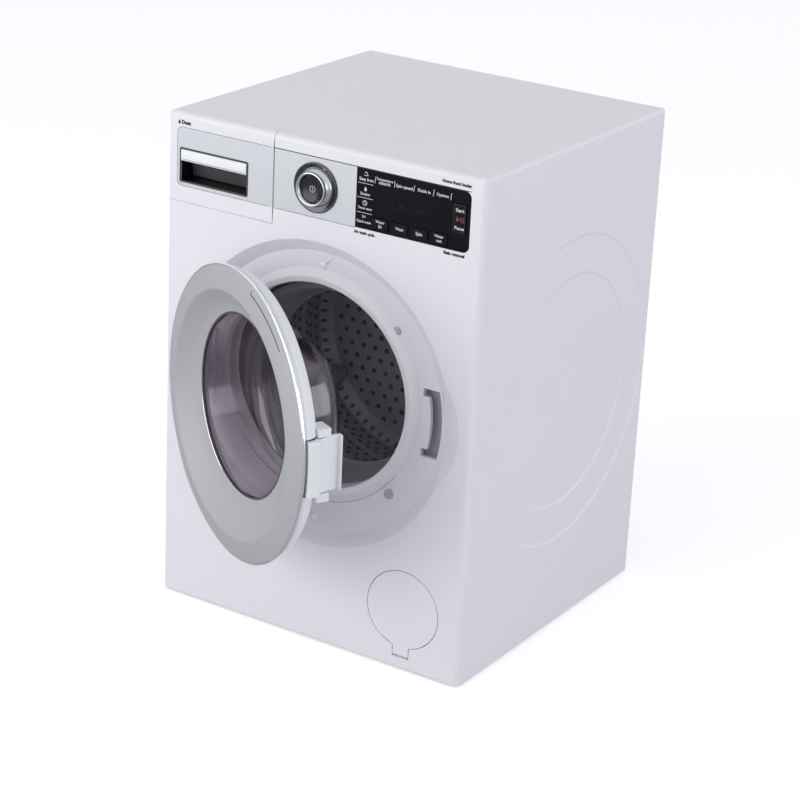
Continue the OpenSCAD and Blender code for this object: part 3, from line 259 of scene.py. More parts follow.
# %% The lamps
def lamp(name, place, size, power, colour=(1, 1, 1)):
    """A square lamp at place (metres), turned to face the toy."""
    data = bpy.data.lights.new(name, "AREA")
    data.size = size
    data.energy = power
    data.color = colour
    made = bpy.data.objects.new(name, data)
    bpy.context.scene.collection.objects.link(made)
    made.location = place
    made.rotation_euler = (AIM - made.location).to_track_quat("-Z", "Y").to_euler()
    return made


lamp("key_lamp", Vector((-0.5, -1.15, 0.3)), 1.15, 10.1)
lamp("side_lamp", Vector((1.9, 0.1, 0.5)), 1.2, 12.6, (0.94, 0.96, 1.0))
print("lamps:", len(bpy.data.lights))

# %% [markdown]
# ## Moulded plastic
# The case is injection moulded. Its surface is not a mirror: the mould's fine texture and the slow
# shrinking of the plastic leave a faint orange peel, and handling polishes some places more than others.
# One recipe serves every moulded colour, because only its colour, gloss and grain differ.


# %% The recipe for moulded plastic
SLOW = 0.03  # swells of the slow drift, per mm
GLOSS_DRIFT = 0.36  # how far it carries the gloss, as a share


def moulded(name, code, roughness, grain_mm=0.45, depth_mm=0.006, drift=0.03, **fixed):
    """Plastic with a fine grain, grain_mm across and depth_mm deep, and a slow drift of its gloss."""
    finish = Finish(name, **fixed)
    colour = tint(code)
    place = finish.millimetres()
    fine = finish.noise(place, 1 / grain_mm)
    slow = finish.noise(place, SLOW, 3)
    darker = tuple(c * (1 - drift) for c in colour[:3]) + (1,)
    finish.feed("Base Color", finish.between(slow, darker, colour))
    finish.feed("Roughness", roughness * (1 - GLOSS_DRIFT / 2) + slow * (roughness * GLOSS_DRIFT))
    finish.bump(fine, depth_mm)
    return finish.material


# The numbers are the roughness, the width and depth of the grain, and how dark the slow drift goes.
white = moulded("white_moulding", "#ebeaf0", 0.34, 0.5, 0.005)
white_satin = moulded("white_door_moulding", "#eeeef3", 0.3, 0.5, 0.004)
white_gloss = moulded("white_lever_moulding", "#f0f0f4", 0.22, 0.6, 0.003)
black_soft = moulded("foot_rubber", "#26262a", 0.75, 0.3, 0.02, 0.2)
graphite = moulded("inner_moulding", "#3a3b42", 0.45, 0.4, 0.01, 0.12)
strike_plastic = moulded("strike_moulding", "#c6bfc9", 0.5, 0.4, 0.01, 0.1)
key_plastic = moulded("key_moulding", "#0d0e13", 0.34, 0.5, 0.003, 0.1, Specular_IOR_Level=0.12)
button_plastic = moulded("button_moulding", "#15161b", 0.2, 0.5, 0.003, 0.1, Specular_IOR_Level=0.45)
well_plastic = moulded("well_moulding", "#0d0d10", 0.4, 0.4, 0.004, 0.1, Specular_IOR_Level=0.25)
nylon = moulded("gear_nylon_moulding", "#dedbd0", 0.42, 0.6, 0.006, 0.05)
module_plastic = moulded("module_moulding", "#202124", 0.5, 0.4, 0.008, 0.1)
seal_rubber = moulded("seal_rubber", "#4b474e", 0.5, 0.3, 0.008, 0.15)
gasket_rubber = moulded("gasket_rubber_skin", "#8d8a92", 0.6, 0.35, 0.012, 0.08)
well_grey = moulded("well_wall_moulding", "#4a4a4d", 0.45, 0.4, 0.006, 0.12)
frame_dark = moulded("well_frame_moulding", "#2f3035", 0.3, 0.4, 0.003, 0.1)
joint_dark = moulded("joint_shadow_dark", "#3c3c42", 0.7, 0.4, 0.002, 0.1)
joint_pale = moulded("joint_shadow_pale", "#a3a3ab", 0.7, 0.4, 0.002, 0.1)
joint_grey = moulded("joint_shadow_grey", "#77777e", 0.7, 0.4, 0.002, 0.1)
joint_faint = moulded("joint_shadow_faint", "#e2e2e8", 0.7, 0.4, 0.002, 0.1)
# Painted shade: the grey of the pad caps stands for the shade that falls at the pads.
pad_shade_grey = moulded("pad_moulding_painted_shade", "#b2b1b8", 0.5, 0.3, 0.004, 0.06)
print("moulded finishes:", len([m for m in bpy.data.materials if "moulding" in m.name]))

# %% Inks, by the same recipe with a finer grain
ink_light = moulded("ink_light_print", "#d9dbe2", 0.5, 0.2, 0.002, 0.06)
ink_faint = moulded("ink_faint_print", "#2a2b33", 0.5, 0.2, 0.002, 0.06)
ink_ghost = moulded("ink_ghost_digits", "#14151c", 0.3, 0.2, 0.002, 0.06, Specular_IOR_Level=0.12)
ink_dark = moulded("ink_dark_print", "#16171e", 0.5, 0.2, 0.002, 0.06)
ink_red = moulded("ink_red_print", "#772338", 0.45, 0.2, 0.002, 0.08)
ink_rose = moulded("tick_rose_enamel", "#a5687a", 0.4, 0.2, 0.002, 0.08)
print("inks:", [m.name for m in bpy.data.materials if "ink" in m.name])

# %% [markdown]
# ## The drum's dimples
# The wall of a washing drum is full of small holes, and a toy drum only hints at them with dimples.
# Modelled one by one they would be thousands of faces, so the shader draws them. On the wall it turns a
# place into an angle round the axle and a depth along it, and on the flat back it takes the place as it
# is. Both are cut into cells, with every other row shifted by half a cell, and a dimple is sunk into the
# middle of each and darkened with painted shade. The cells are not quite square, so a squeeze keeps the
# dimples round.


# %% One dimple in each cell
DIMPLE = 0.05  # its radius squared, where a cell is 1 high


def cells(along, rows, squeeze):
    """One inside the dimples, nothing outside. The squeeze is a cell's width over its height, squared."""
    shifted = along + maths("MODULO", maths("FLOOR", rows), 2) * 0.5
    column = maths("FRACT", shifted) - 0.5
    line = maths("FRACT", rows) - 0.5
    return (column * column * squeeze + line * line) < DIMPLE


# %% Plastic with rows of dimples
WALL_FROM, BACK_TO = 62, 58  # radii, mm
ROUND, ROW = 72, 5  # dimples round the wall, and mm between its rows
BACK_CELL = (7.5, 6.5)  # mm across and up
BACK_Y = 10  # only the back lies deeper than this, mm
FAR = 100  # mm, keeps what is counted above zero

drum = Finish("drum_moulding")
place = drum.millimetres()
across, along, height = drum.axis(place, 0), drum.axis(place, 1), drum.axis(place, 2) - AXLE_Z
radius = maths("SQRT", across * across + height * height)
angle = maths("ARCTAN2", across, height) / (2 * pi)

on_wall = cells(angle * ROUND, (along + 12 * ROW) / ROW, 1.37) * (radius > WALL_FROM)
on_back = cells((across + FAR) / BACK_CELL[0], (height + FAR) / BACK_CELL[1], 1.33) * (along > BACK_Y)
dimple = on_wall + on_back * (radius < BACK_TO)
slow = drum.noise(place, SLOW, 3)
fine = drum.noise(place, 2)
plain = drum.between(slow, tint("#a6a7af"), tint("#b4b5bd"))
# Painted shade: each dimple is coloured darker, as if little light got into it.
drum.feed("Base Color", drum.between(dimple, plain, tint("#66676f")))
drum.feed("Roughness", slow * 0.1 + 0.3 + dimple * 0.15)
drum.bump(fine * 0.02 - dimple, 0.3)
drum_plastic = drum.material
print("dimples:", ROUND, "round the wall in rows", ROW, "mm apart")

# %% [markdown]
# ## Metal and metal paint
# Real metal on a toy is rare: a few screws, pins and springs. What looks like metal on the front is
# plastic that was sprayed or plated. Sprayed silver holds tiny flakes, so its gloss is grainy at a tenth
# of a millimetre, while plating is as smooth as the plastic below it.


# %% The recipe for metal and metal paint
def metal(name, code, roughness, fleck_mm=0.2, fleck=0.06, brushed=(1, 1, 1), metallic=1.0, **fixed):
    """Metal or silver paint with flecks fleck_mm across, drawn out along an axis where brushed is small."""
    finish = Finish(name, Metallic=metallic, **fixed)
    colour = tint(code)
    place = finish.millimetres()
    lines = finish.node("ShaderNodeVectorMath", {"operation": "MULTIPLY"}, {0: place, 1: brushed})
    flecks = finish.noise(lines, 1 / fleck_mm)
    slow = finish.noise(place, 0.04)
    darker = tuple(c * (1 - 2 * fleck) for c in colour[:3]) + (1,)
    finish.feed("Base Color", finish.between(flecks, darker, colour))
    finish.feed("Roughness", roughness * 0.8 + flecks * (roughness * 0.25) + slow * (roughness * 0.2))
    finish.bump(flecks, 0.002)
    return finish.material


# The numbers are the roughness, the width of the flecks, how dark they go, and the way they are drawn.
ring_silver = metal("ring_silver_paint", "#b5b5ba", 0.46, 0.12, 0.05, metallic=0.1, Specular_IOR_Level=0.3)
rim_chrome = metal("rim_plating", "#e6e6ea", 0.1, 0.5, 0.01)
panel_silver = metal("panel_silver_paint", "#d0d1d6", 0.38, 0.13, 0.05, (0.03, 1, 1), metallic=0.3)
handle_silver = metal("handle_paint", "#ecedf0", 0.26, 0.15, 0.03, metallic=0.4)
smoke_chrome = metal("bezel_plating", "#4c4d53", 0.2, 0.5, 0.02)
knob_chrome = metal("knob_plating", "#c4c5ca", 0.26, 0.3, 0.02)
steel = metal("pin_steel_ground", "#b9bbc0", 0.26, 0.2, 0.06)
zinc = metal("screw_zinc", "#a9abb0", 0.32, 0.25, 0.08)
plate_steel = metal("plate_steel_rolled", "#b3b5ba", 0.38, 0.3, 0.06, (1, 1, 0.06))
can_steel = metal("motor_can_steel", "#9a9ca2", 0.34, 0.25, 0.06, (1, 0.05, 1))
nickel = metal("contact_nickel_plate", "#c9c5ba", 0.22, 0.3, 0.04)
brass = metal("bush_brass_turned", "#c2a35c", 0.28, 0.2, 0.06, (1, 0.1, 1))
switch_steel = metal("switch_steel", "#c2c4c8", 0.3, 0.2, 0.05)
print("materials now:", len(bpy.data.materials))

# %% [markdown]
# ## Clear, glossy and printed surfaces
# The bowl is clear plastic with a smoky tint, the display is a black window as glossy as glass, and the
# circuit board is lacquer over copper tracks. Each is one of a kind, so each has its own short recipe.

# %% Smoky clear plastic
clear = Finish("bowl_smoky_clear", Transmission_Weight=1.0, IOR=1.49)
place = clear.millimetres()
haze = clear.noise(place, 0.05, 3)
clear.feed("Base Color", clear.between(haze, tint("#d3c8d0"), tint("#dcd3da")))
clear.feed("Roughness", 0.02 + haze * 0.04)
bowl_clear = clear.material

# %% The display's black window
window = Finish("display_gloss", Specular_IOR_Level=0.12)
place = window.millimetres()
haze = window.noise(place, 0.06, 3)
window.feed("Base Color", window.between(haze, tint("#090a11"), tint("#0d0e16")))
window.feed("Roughness", 0.06 + haze * 0.06)
display_gloss = window.material

# %% The circuit board
lacquer = Finish("board_lacquer")
place = lacquer.millimetres()
weave = lacquer.node("ShaderNodeTexBrick", None, {"Vector": place, "Scale": 0.9, "Mortar Size": 0.06}, 1)
cloud = lacquer.noise(place, 0.2, 4)
lacquer.feed("Base Color", lacquer.between(weave * 0.5 + cloud * 0.4, tint("#1d5a3a"), tint("#2d7a50")))
lacquer.feed("Roughness", 0.25 + cloud * 0.15)
lacquer.bump(weave, 0.02)
board_green = lacquer.material
print("clear, display and board finishes made")

# %% [markdown]
# ## Dressing the solids
# The record of the part names a finish slot for every solid. A short table from slot to finish dresses
# them all in one pass, and a solid whose slot is missing from the table stops the lesson at once.

# %% One finish for every slot
finishes = {
    "white_shell": white, "white_door": white_satin, "white_lever": white_gloss, "foot_rubber": black_soft,
    "dark_plastic": graphite, "strike_grey": strike_plastic, "gasket_rubber": gasket_rubber,
    "drum_grey": drum_plastic, "bush_brass": brass, "plate_steel": plate_steel, "pin_steel": steel,
    "screw_steel": zinc, "motor_can": can_steel, "board_green": board_green, "module_black": module_plastic,
    "switch_metal": switch_steel, "contact_nickel": nickel, "silver_panel": panel_silver,
    "handle_silver": handle_silver, "display_black": display_gloss, "bezel_smoke": smoke_chrome,
    "knob_chrome": knob_chrome, "button_dark": button_plastic, "key_black": key_plastic,
    "gear_nylon": nylon, "ring_silver": ring_silver, "bowl_clear": bowl_clear, "seal_black": seal_rubber,
    "well_black": well_plastic,
}
slots = {}
for name, solid in nodes.items():
    slots[name] = solid.material_slots[0].material.name.split(".")[0]
    solid.material_slots[0].material = finishes[slots[name]]
print("dressed", len(slots), "solids in", len(set(slots.values())), "finishes")

# %% [markdown]
# ## Tools for modelling
# Every new piece starts as a primitive and is shaped with the same operators that a hand would use in
# the viewport. A few small helpers keep that short. They select a piece alone, open it for editing and
# close it, add a modifier and apply it, and pick some of its faces or points. The last one dresses the
# finished piece and says what it moves with.


# %% Select, edit, modify
def alone(piece):
    bpy.ops.object.select_all(action="DESELECT")
    piece.select_set(True)
    bpy.context.view_layer.objects.active = piece


def edit(piece):
    alone(piece)
    bpy.ops.object.mode_set(mode="EDIT")
    bpy.ops.mesh.select_all(action="SELECT")


def close():
    bpy.ops.object.mode_set(mode="OBJECT")


def modify(piece, kind, **settings):
    alone(piece)
    step = piece.modifiers.new(kind.title(), kind)
    for setting, value in settings.items():
        setattr(step, setting, value)
    bpy.ops.object.modifier_apply(modifier=step.name)


def pick(piece, kind, wanted):
    """Open a piece for editing, with only the faces or points selected for which wanted(item) is true."""
    alone(piece)
    bpy.ops.object.mode_set(mode="EDIT")
    bpy.ops.mesh.select_mode(type=kind)
    bpy.ops.mesh.select_all(action="DESELECT")
    bpy.ops.object.mode_set(mode="OBJECT")
    for item in piece.data.polygons if kind == "FACE" else piece.data.vertices:
        item.select = bool(wanted(item))
    bpy.ops.object.mode_set(mode="EDIT")


# %% Dress a piece
def dressed(piece, finish, body, slot_name, *stands_for):
    """Give a piece its finish and the body it rides on, and hide the solids it stands for, if any; the slot
    name is not used.
    """
    alone(piece)
    bpy.ops.object.transform_apply(location=True, rotation=True, scale=True)
    piece.data.materials.clear()
    piece.data.materials.append(finish)
    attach(piece, body)
    if stands_for:
        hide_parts(*stands_for)
    print(piece.name, "has", len(piece.data.polygons), "faces")
    return piece


# %% [markdown]
# ## Soft edges
# No moulded part has a knife edge: the tool that cuts its mould leaves a small radius, and that radius
# is what catches the light and tells the eye where one part ends. The solids have their main radii
# already. Here a copy of a solid is merged into whole faces, and a bevel modifier rounds the edges that
# are still sharp. Weighted normals then keep the large flat faces flat to the eye. They would also
# flatten a very shallow slope, so a part that has one is kept crisp from a smaller angle on.

# %% A copy with soft edges
CORNER = 28  # degrees
COPY_WELD = 0.004 * MM


def softened(node, width_mm, segments=2, crisp=34):
    """A copy of a solid, rounded where its faces meet at more than CORNER degrees."""
    alone(nodes[node])
    bpy.ops.object.duplicate(linked=False)
    piece = bpy.context.object
    piece.name = node + "_soft"
    bpy.ops.object.parent_clear(type="CLEAR_KEEP_TRANSFORM")
    body = piece["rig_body"]
    del piece["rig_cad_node"], piece["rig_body"]
    bpy.ops.mesh.customdata_custom_splitnormals_clear()
    edit(piece)
    bpy.ops.mesh.remove_doubles(threshold=COPY_WELD)
    close()
    modify(piece, "BEVEL", width=width_mm * MM, segments=segments, limit_method="ANGLE",
           angle_limit=radians(CORNER), use_clamp_overlap=False)
    bpy.ops.object.shade_smooth_by_angle(angle=radians(crisp))
    modify(piece, "WEIGHTED_NORMAL", keep_sharp=True)
    return dressed(piece, finishes[slots[node]], body, slots[node], node)


# %% [markdown]
# ## Turned shapes
# The ring, the bowl, the knob and the small caps are round about one line, as if cut on a lathe. A
# cylinder could be shaped face by face, but it is simpler to walk the outline of one side point by
# point and to spin it.

# %% Turning a part, as on a lathe
WELD = 0.002 * MM
TURNED_CRISP = 34


def turned(name, outline, centre, steps=96, sweep=2 * pi, start=0):
    """Walk an outline of (radius, y) points in mm, and spin it round the Y line through centre (x, z)."""
    x, z = centre
    bpy.ops.mesh.primitive_plane_add(size=MM)
    piece = bpy.context.object
    piece.name = name
    edit(piece)
    bpy.ops.mesh.merge(type="CENTER")
    bpy.ops.transform.translate(value=((x + outline[0][0]) * MM, outline[0][1] * MM, z * MM))
    for (r0, y0), (r1, y1) in zip(outline, outline[1:]):
        step = ((r1 - r0) * MM, (y1 - y0) * MM, 0)
        bpy.ops.mesh.extrude_vertices_move(TRANSFORM_OT_translate={"value": step})
    bpy.ops.mesh.select_all(action="SELECT")
    bpy.ops.mesh.spin(steps=steps, angle=sweep, center=(x * MM, 0, z * MM), axis=(0, -1, 0))
    bpy.ops.mesh.select_all(action="SELECT")
    bpy.ops.mesh.remove_doubles(threshold=WELD)
    bpy.ops.mesh.normals_make_consistent(inside=False)
    close()
    if start:
        middle = Matrix.Translation((x * MM, 0, z * MM))
        piece.matrix_world = middle @ Matrix.Rotation(-start, 4, "Y") @ middle.inverted()
        bpy.ops.object.transform_apply(location=True, rotation=True, scale=True)
    bpy.ops.object.shade_smooth_by_angle(angle=radians(TURNED_CRISP))
    return piece


# %% [markdown]
# ## The white case
# The case is one deep moulding, open at the back, with the recess for the door moulded into its front
# and two shallow round steps pressed into each side. Only the edges need care, so soft copies stand for
# the solids. The slope of the steps is about 20 degrees, so the case is kept crisp from 16 degrees on.

# %% Soft copies of the case, its base and feet, and the small parts on its front
softened("cabinet_shell", 0.22, crisp=16)
softened("base_plate", 0.25)
softened("rubber_feet", 0.6, segments=3)
softened("service_flap", 0.2)
softened("drawer_front", 0.3)
softened("hinge_bracket", 0.25)
softened("latch_strike", 0.3)

# %% [markdown]
# ## The door
# The door is three parts on one axis: a silver ring with a dished face, a white frame behind it that
# carries the hinge and the latch, and a clear bowl that reaches into the drum. The window sits a little
# above the ring's middle. The frame is a plain moulding, but the ring and the bowl are turned shapes. It
# would be hard to turn them in the air at a slant, so they are made with the door shut, when their axis
# lies along Y, and each finished piece is swung open about the hinge.

# %% The swing of the door
RISE = 3.6
DOOR = (0, AXLE_Z)
WINDOW = (0, AXLE_Z + RISE)
hinge = joints["door_hinge"]
HINGE = Vector(hinge["pos_m"])
SWING = Matrix.Rotation(-radians(hinge["range_deg"][0]), 4, Vector(hinge["axis"]))
OPENED = Matrix.Translation(HINGE) @ SWING @ Matrix.Translation(-HINGE)
print("the door stands open by", -hinge["range_deg"][0], "degrees")


def on_door(piece, finish, slot_name, *stands_for):
    """Swing a piece that was made with the door shut open, then dress it."""
    piece.matrix_world = OPENED @ piece.matrix_world
    return dressed(piece, finish, "door", slot_name, *stands_for)


# %% [markdown]
# ## The silver ring
# The face of the ring is a slightly crowned band that rises to a ridge, and inside the ridge it falls
# in a smooth curve to the window. Its outline is the band, the ridge, the dish and a hollow back. A
# spin alone would put the window in the middle, and it is not there. So the outline is spun about the
# ring's own axis first, and then each circle of the dish is moved up by its share of the window's rise.

# %% The curves of its outline
RING_OUT, BAND = 73, 10.2  # radius of the ring, and how wide its band is
BAND_Y, BAND_RISE, CROWN = -102.2, 2.9, 0.25  # outer edge, height of the ridge over it, bulge between
DISH_OUT, DISH_WIDE = 61, 14.5  # radius where the dish starts, and its width
DISH_Y, DISH_DEEP, DISH_TURN = -104.9, 7.7, radians(70)  # its start, its depth, its part of a quarter wave
DISH_STEPS = 20


def on_band(radius, proud=0):
    """The point of the ring's outer band at a radius, and a height proud of it (mm)."""
    part = (RING_OUT - radius) / BAND
    return (radius, BAND_Y - BAND_RISE * part - CROWN * sin(pi * part) - proud)


def dish(back=0):
    """The curve of the dished face from the ridge down to the window, moved back by some mm."""
    turns = [i / DISH_STEPS for i in range(DISH_STEPS + 1)]
    fall = [DISH_DEEP * sin(DISH_TURN * t) / sin(DISH_TURN) for t in turns]
    return [(DISH_OUT - DISH_WIDE * t, DISH_Y + f + back) for t, f in zip(turns, fall)]


# %% The ring, spun
WALL = 1.6  # of the ring behind the dish
band = [on_band(RING_OUT - BAND * i / 10) for i in range(11)]
ridge = [(62.35, -105.2), (61.85, -105.21), (61.4, -105.1)]
inner_edge = [(46.2, -97.05), (46, -96.75), (46, -96.5), (51, -96.5)]
hollow_back = [point for point in reversed(dish(WALL)) if point[0] > 51.5]
rim_back = [(62, -103.5), (71.4, -101), (RING_OUT, -101), band[0]]
outline = band + ridge + dish() + inner_edge + hollow_back + rim_back
ring = turned("door_ring_dish", outline, DOOR, 128)
print("outline of the ring:", len(outline), "points")

# %% The window end of the dish, moved up
RIDGE_IN, WINDOW_EDGE = 61.4, 46  # radii: no rise at the first, all of it at the second
circles = {}
for point in ring.data.vertices:
    radius = hypot(point.co.x / MM, point.co.z / MM - AXLE_Z)
    share = round(min(max((RIDGE_IN - radius) / (RIDGE_IN - WINDOW_EDGE), 0), 1), 3)
    circles.setdefault(share, set()).add(point.index)
for share, members in circles.items():
    pick(ring, "VERT", lambda item: item.index in members)
    bpy.ops.transform.translate(value=(0, 0, RISE * share * MM))
    close()
bpy.ops.object.shade_smooth_by_angle(angle=radians(TURNED_CRISP))
on_door(ring, ring_silver, "ring_silver", "door_ring")
print("circles moved:", len(circles))

# %% Its plated rim
rim_line = [(72.9, -101.9), (73.05, -102.2), (73.3, -102.3), (73.6, -102.22), (73.88, -102),
            (74, -101.7), (74, -101.2), (73.85, -100.95), (72.9, -100.95), (72.9, -101.9)]
rim = turned("door_rim", rim_line, DOOR, 128)
on_door(rim, rim_chrome, "ring_silver")

# %% Its polished inner edge
edge_line = [(46.5, -97.3), (46.2, -97.32), (45.95, -97.15), (45.85, -96.9), (46, -96.6), (46.5, -96.6),
             (46.5, -97.3)]
inner = turned("window_edge", edge_line, WINDOW, 128)
on_door(inner, rim_chrome, "ring_silver")

# %% [markdown]
# ## The clear bowl
# The bowl is pressed from clear plastic, with a flat slope on its upper side that guides the washing
# back into the drum. A dome could be carved from a sphere, but the real one has steep walls and a flat
# base, so its outline is spun and cut by the planes of the slope and of its two shoulders. Its edges
# are rounded next, and its wall is given last.

# %% The bowl
BOWL_WALL = 1.5
BOWL_ROUND = 1.1
bowl_line = [(51.3, -95.4), (48.2, -95.4), (47.3, -95), (46.85, -94.2), (46.5, -84), (46, -76.8),
             (45.5, -72.9), (44.6, -69.9), (43.1, -67.6), (41.1, -66.1), (38.5, -65), (35.3, -64.4),
             (31, -64.2), (0, -64.2)]
bowl = turned("bowl_clear_shell", bowl_line, WINDOW, 96)
slope = ((0, -64.2, 162.6), (0, 1.19, 1))
upper_shoulder = ((0, -81.4, 181.8), (0, 0.42, 0.9))
lower_shoulder = ((0, -65, 162.3), (0, 0.94, 0.34))
edit(bowl)
for spot, away in (slope, upper_shoulder, lower_shoulder):
    bpy.ops.mesh.select_all(action="SELECT")
    bpy.ops.mesh.bisect(plane_co=Vector(spot) * MM, plane_no=Vector(away).normalized(),
                        clear_outer=True, use_fill=True)
bpy.ops.mesh.select_all(action="SELECT")
bpy.ops.mesh.remove_doubles(threshold=WELD)
bpy.ops.mesh.normals_make_consistent(inside=False)
close()

# %% Its outside, its edges and its wall
base = max(bowl.data.polygons, key=lambda face: face.center.y)
if base.normal.y < 0:
    edit(bowl)
    bpy.ops.mesh.flip_normals()
    close()
modify(bowl, "BEVEL", width=BOWL_ROUND * MM, segments=4, limit_method="ANGLE", angle_limit=radians(22))
modify(bowl, "SOLIDIFY", thickness=BOWL_WALL * MM, offset=-1, use_even_offset=True)
bpy.ops.object.shade_smooth_by_angle(angle=radians(40))
modify(bowl, "WEIGHTED_NORMAL", keep_sharp=True)
on_door(bowl, bowl_clear, "bowl_clear", "door_bowl")

# %% [markdown]
# ## Other mouldings
# The frame and the latch of the door, the parts of the drawer, the two panels, the keys and the lifters
# in the drum are plain mouldings whose solids already have the right shape. They need only their edges.

# %% Soft copies of the frame, the latch, the drawer, the panels, the keys and the lifters
softened("door_frame", 0.3)
softened("latch_block", 0.35)
softened("latch_lever", 0.45, segments=3)
softened("drawer_trim", 0.12)
softened("grip_well", 0.15)
softened("drawer_tray", 0.3)
softened("fascia_plate", 0.12)
softened("display_panel", 0.2)
for key in ("key_fill", "key_wash", "key_spin", "key_drain", "key_start"):
    softened(key, 0.28, segments=3)
softened("drum_paddles", 0.8, segments=3)

# %% [markdown]
# ## The control knob
# The knob is a plated ring with a hollowed, flaring side, and a dark button sits in its middle. Seen
# close, a plain cylinder would give it away at once, because the waist and the rolled lip catch the
# light. So it is turned from outlines in three parts: the bezel on the panel, the ring that the fingers
# turn, and the button with its dished face.

# %% The bezel on the panel
KNOB = [round(joints["knob_turn"]["pos_m"][k] / MM, 3) for k in (0, 2)]
bezel_line = [(9.9, -89.1), (12.5, -89.1), (12.6, -89.5), (12.5, -89.85), (12.2, -90), (11.8, -89.95),
              (11.2, -89.7), (10.6, -89.5), (9.9, -89.4), (9.9, -89.1)]
bezel = turned("knob_bezel_dish", bezel_line, KNOB)
dressed(bezel, smoke_chrome, "cabinet", "bezel_smoke", "knob_bezel")
print("the knob's middle, x and z in mm:", KNOB)

# %% The ring that the fingers turn
FOOT, HOLLOW = 9.6, 1.7  # radius at the panel, and how much of it the waist takes away
FLARE_Y, FLARE_TALL, FLARE_STEPS = -89.9, 2.7, 8
shares = [i / FLARE_STEPS for i in range(1, FLARE_STEPS + 1)]
flare = [(FOOT - HOLLOW * sin(pi / 2 * share), FLARE_Y - FLARE_TALL * share) for share in shares]
lip = [(7.95, -93), (8.2, -93.45), (8.35, -93.85), (8.25, -94.1), (7.95, -94.2), (7.6, -94.1),
       (7.25, -93.75), (6.9, -93.1), (6.65, -92.4), (6.6, -90.8)]
knob_line = [(FOOT, -89.6)] + flare + lip + [(2.2, -90.8), (2.2, -89.6), (FOOT, -89.6)]
knob = turned("knob_flared_ring", knob_line, KNOB)
dressed(knob, knob_chrome, "knob", "knob_chrome", "knob_ring")

# %% The button in its middle
button_line = [(0, -92.1), (2, -92.13), (3.6, -92.28), (5, -92.6), (5.9, -93), (6.25, -93.15),
               (6.4, -93.05), (6.45, -92.8), (6.45, -91.6), (0, -91.6)]
button = turned("power_button_dish", button_line, KNOB)
dressed(button, button_plastic, "power_button", "button_dark", "power_button")

# %% [markdown]
# ## The pull of the drawer
# The drawer is opened with two fingers behind a bright bar. Behind the bar is a dark well, and its back
# wall leans so that the fingers slide up behind the bar. The bar gets soft edges, the lean is a block
# whose top edge is pushed forward, and a thin dark frame closes the gap around the well.


# %% A block with soft edges
def block(name, low, high, width_mm=0.2, segments=2):
    """A cube from corner low to corner high (mm), its edges rounded by width_mm."""
    sides = [(b - a) * MM for a, b in zip(low, high)]
    middle = [(b + a) / 2 * MM for a, b in zip(low, high)]
    bpy.ops.mesh.primitive_cube_add(size=1, location=middle, scale=sides)
    piece = bpy.context.object
    piece.name = name
    bpy.ops.object.transform_apply(location=True, rotation=False, scale=True)
    if width_mm:
        modify(piece, "BEVEL", width=width_mm * MM, segments=segments)
        bpy.ops.object.shade_smooth_by_angle(angle=radians(40))
    return piece


# %% The bar
softened("drawer_handle", 0.3, segments=3)
# Painted shade: a thin black strip across the bar stands for the shade in a groove.
groove = block("handle_groove_painted_shade", (-83.6, -89.74, 238.2), (-44.2, -89.6, 238.4), 0)
dressed(groove, well_plastic, "drawer", "well_black")

# %% The leaning back wall of the well
LEAN = 3.2  # how far the top edge comes forward
lean = block("well_lean", (-84.2, -78.9, 227.4), (-43.6, -78.05, 243.3), 0)
pick(lean, "VERT", lambda item: item.co.z > 240 * MM and item.co.y < -78.5 * MM)
bpy.ops.transform.translate(value=(0, -LEAN * MM, 0))
bpy.ops.mesh.select_all(action="SELECT")
bpy.ops.mesh.subdivide(number_cuts=3)
close()
modify(lean, "BEVEL", width=0.2 * MM, segments=2, limit_method="ANGLE", angle_limit=radians(40))
dressed(lean, well_grey, "drawer", "well_black")


# %% Thin frames
def frame_line(name, low, high, line, corner, y_front, y_back):
    """A thin closed frame round the rectangle low-high (x, z in mm), line wide, with round corners."""
    middle = ((low[0] + high[0]) / 2 * MM, y_back * MM, (low[1] + high[1]) / 2 * MM)
    bpy.ops.mesh.primitive_plane_add(size=1, location=middle, rotation=(pi / 2, 0, 0))
    piece = bpy.context.object
    piece.name = name
    piece.scale = ((high[0] - low[0]) * MM, (high[1] - low[1]) * MM, 1)
    bpy.ops.object.transform_apply(location=True, rotation=True, scale=True)
    modify(piece, "BEVEL", affect="VERTICES", width=corner * MM, segments=6)
    edit(piece)
    bpy.ops.mesh.inset(thickness=line * MM, use_even_offset=True)
    bpy.ops.mesh.delete(type="FACE")
    bpy.ops.mesh.select_all(action="SELECT")
    bpy.ops.mesh.extrude_region_move(TRANSFORM_OT_translate={"value": (0, (y_front - y_back) * MM, 0)})
    bpy.ops.mesh.select_all(action="SELECT")
    bpy.ops.mesh.normals_make_consistent(inside=False)
    close()
    return piece


surround = frame_line("well_surround", (-84.9, 226.4), (-42.9, 244.2), 0.75, 1.0, -89.3, -89.05)
dressed(surround, frame_dark, "drawer", "well_black")

# %% [markdown]
# ## Dark joints
# Two parts never meet without a joint, and a joint reads as a thin dark line because no light gets out
# of it. Such a line could be a gap a tenth of a millimetre wide, but in a picture from a metre away it
# would drown in the pixels, so each joint gets a thin strip of its own, in the tone that a joint of its
# width shows.

# %% Joints round the silver panels
FRONT = -89  # y of the case's front
top_joint = block("panel_joint", (-27.4, FRONT - 0.05, 254.35), (84.2, FRONT + 0.04, 254.75), 0)
dressed(top_joint, joint_dark, "cabinet", "display_black")
low_joint = block("panel_joint_low", (-27.4, FRONT - 0.05, 224.2), (20.8, FRONT + 0.04, 224.42), 0)
dressed(low_joint, joint_grey, "cabinet", "display_black")

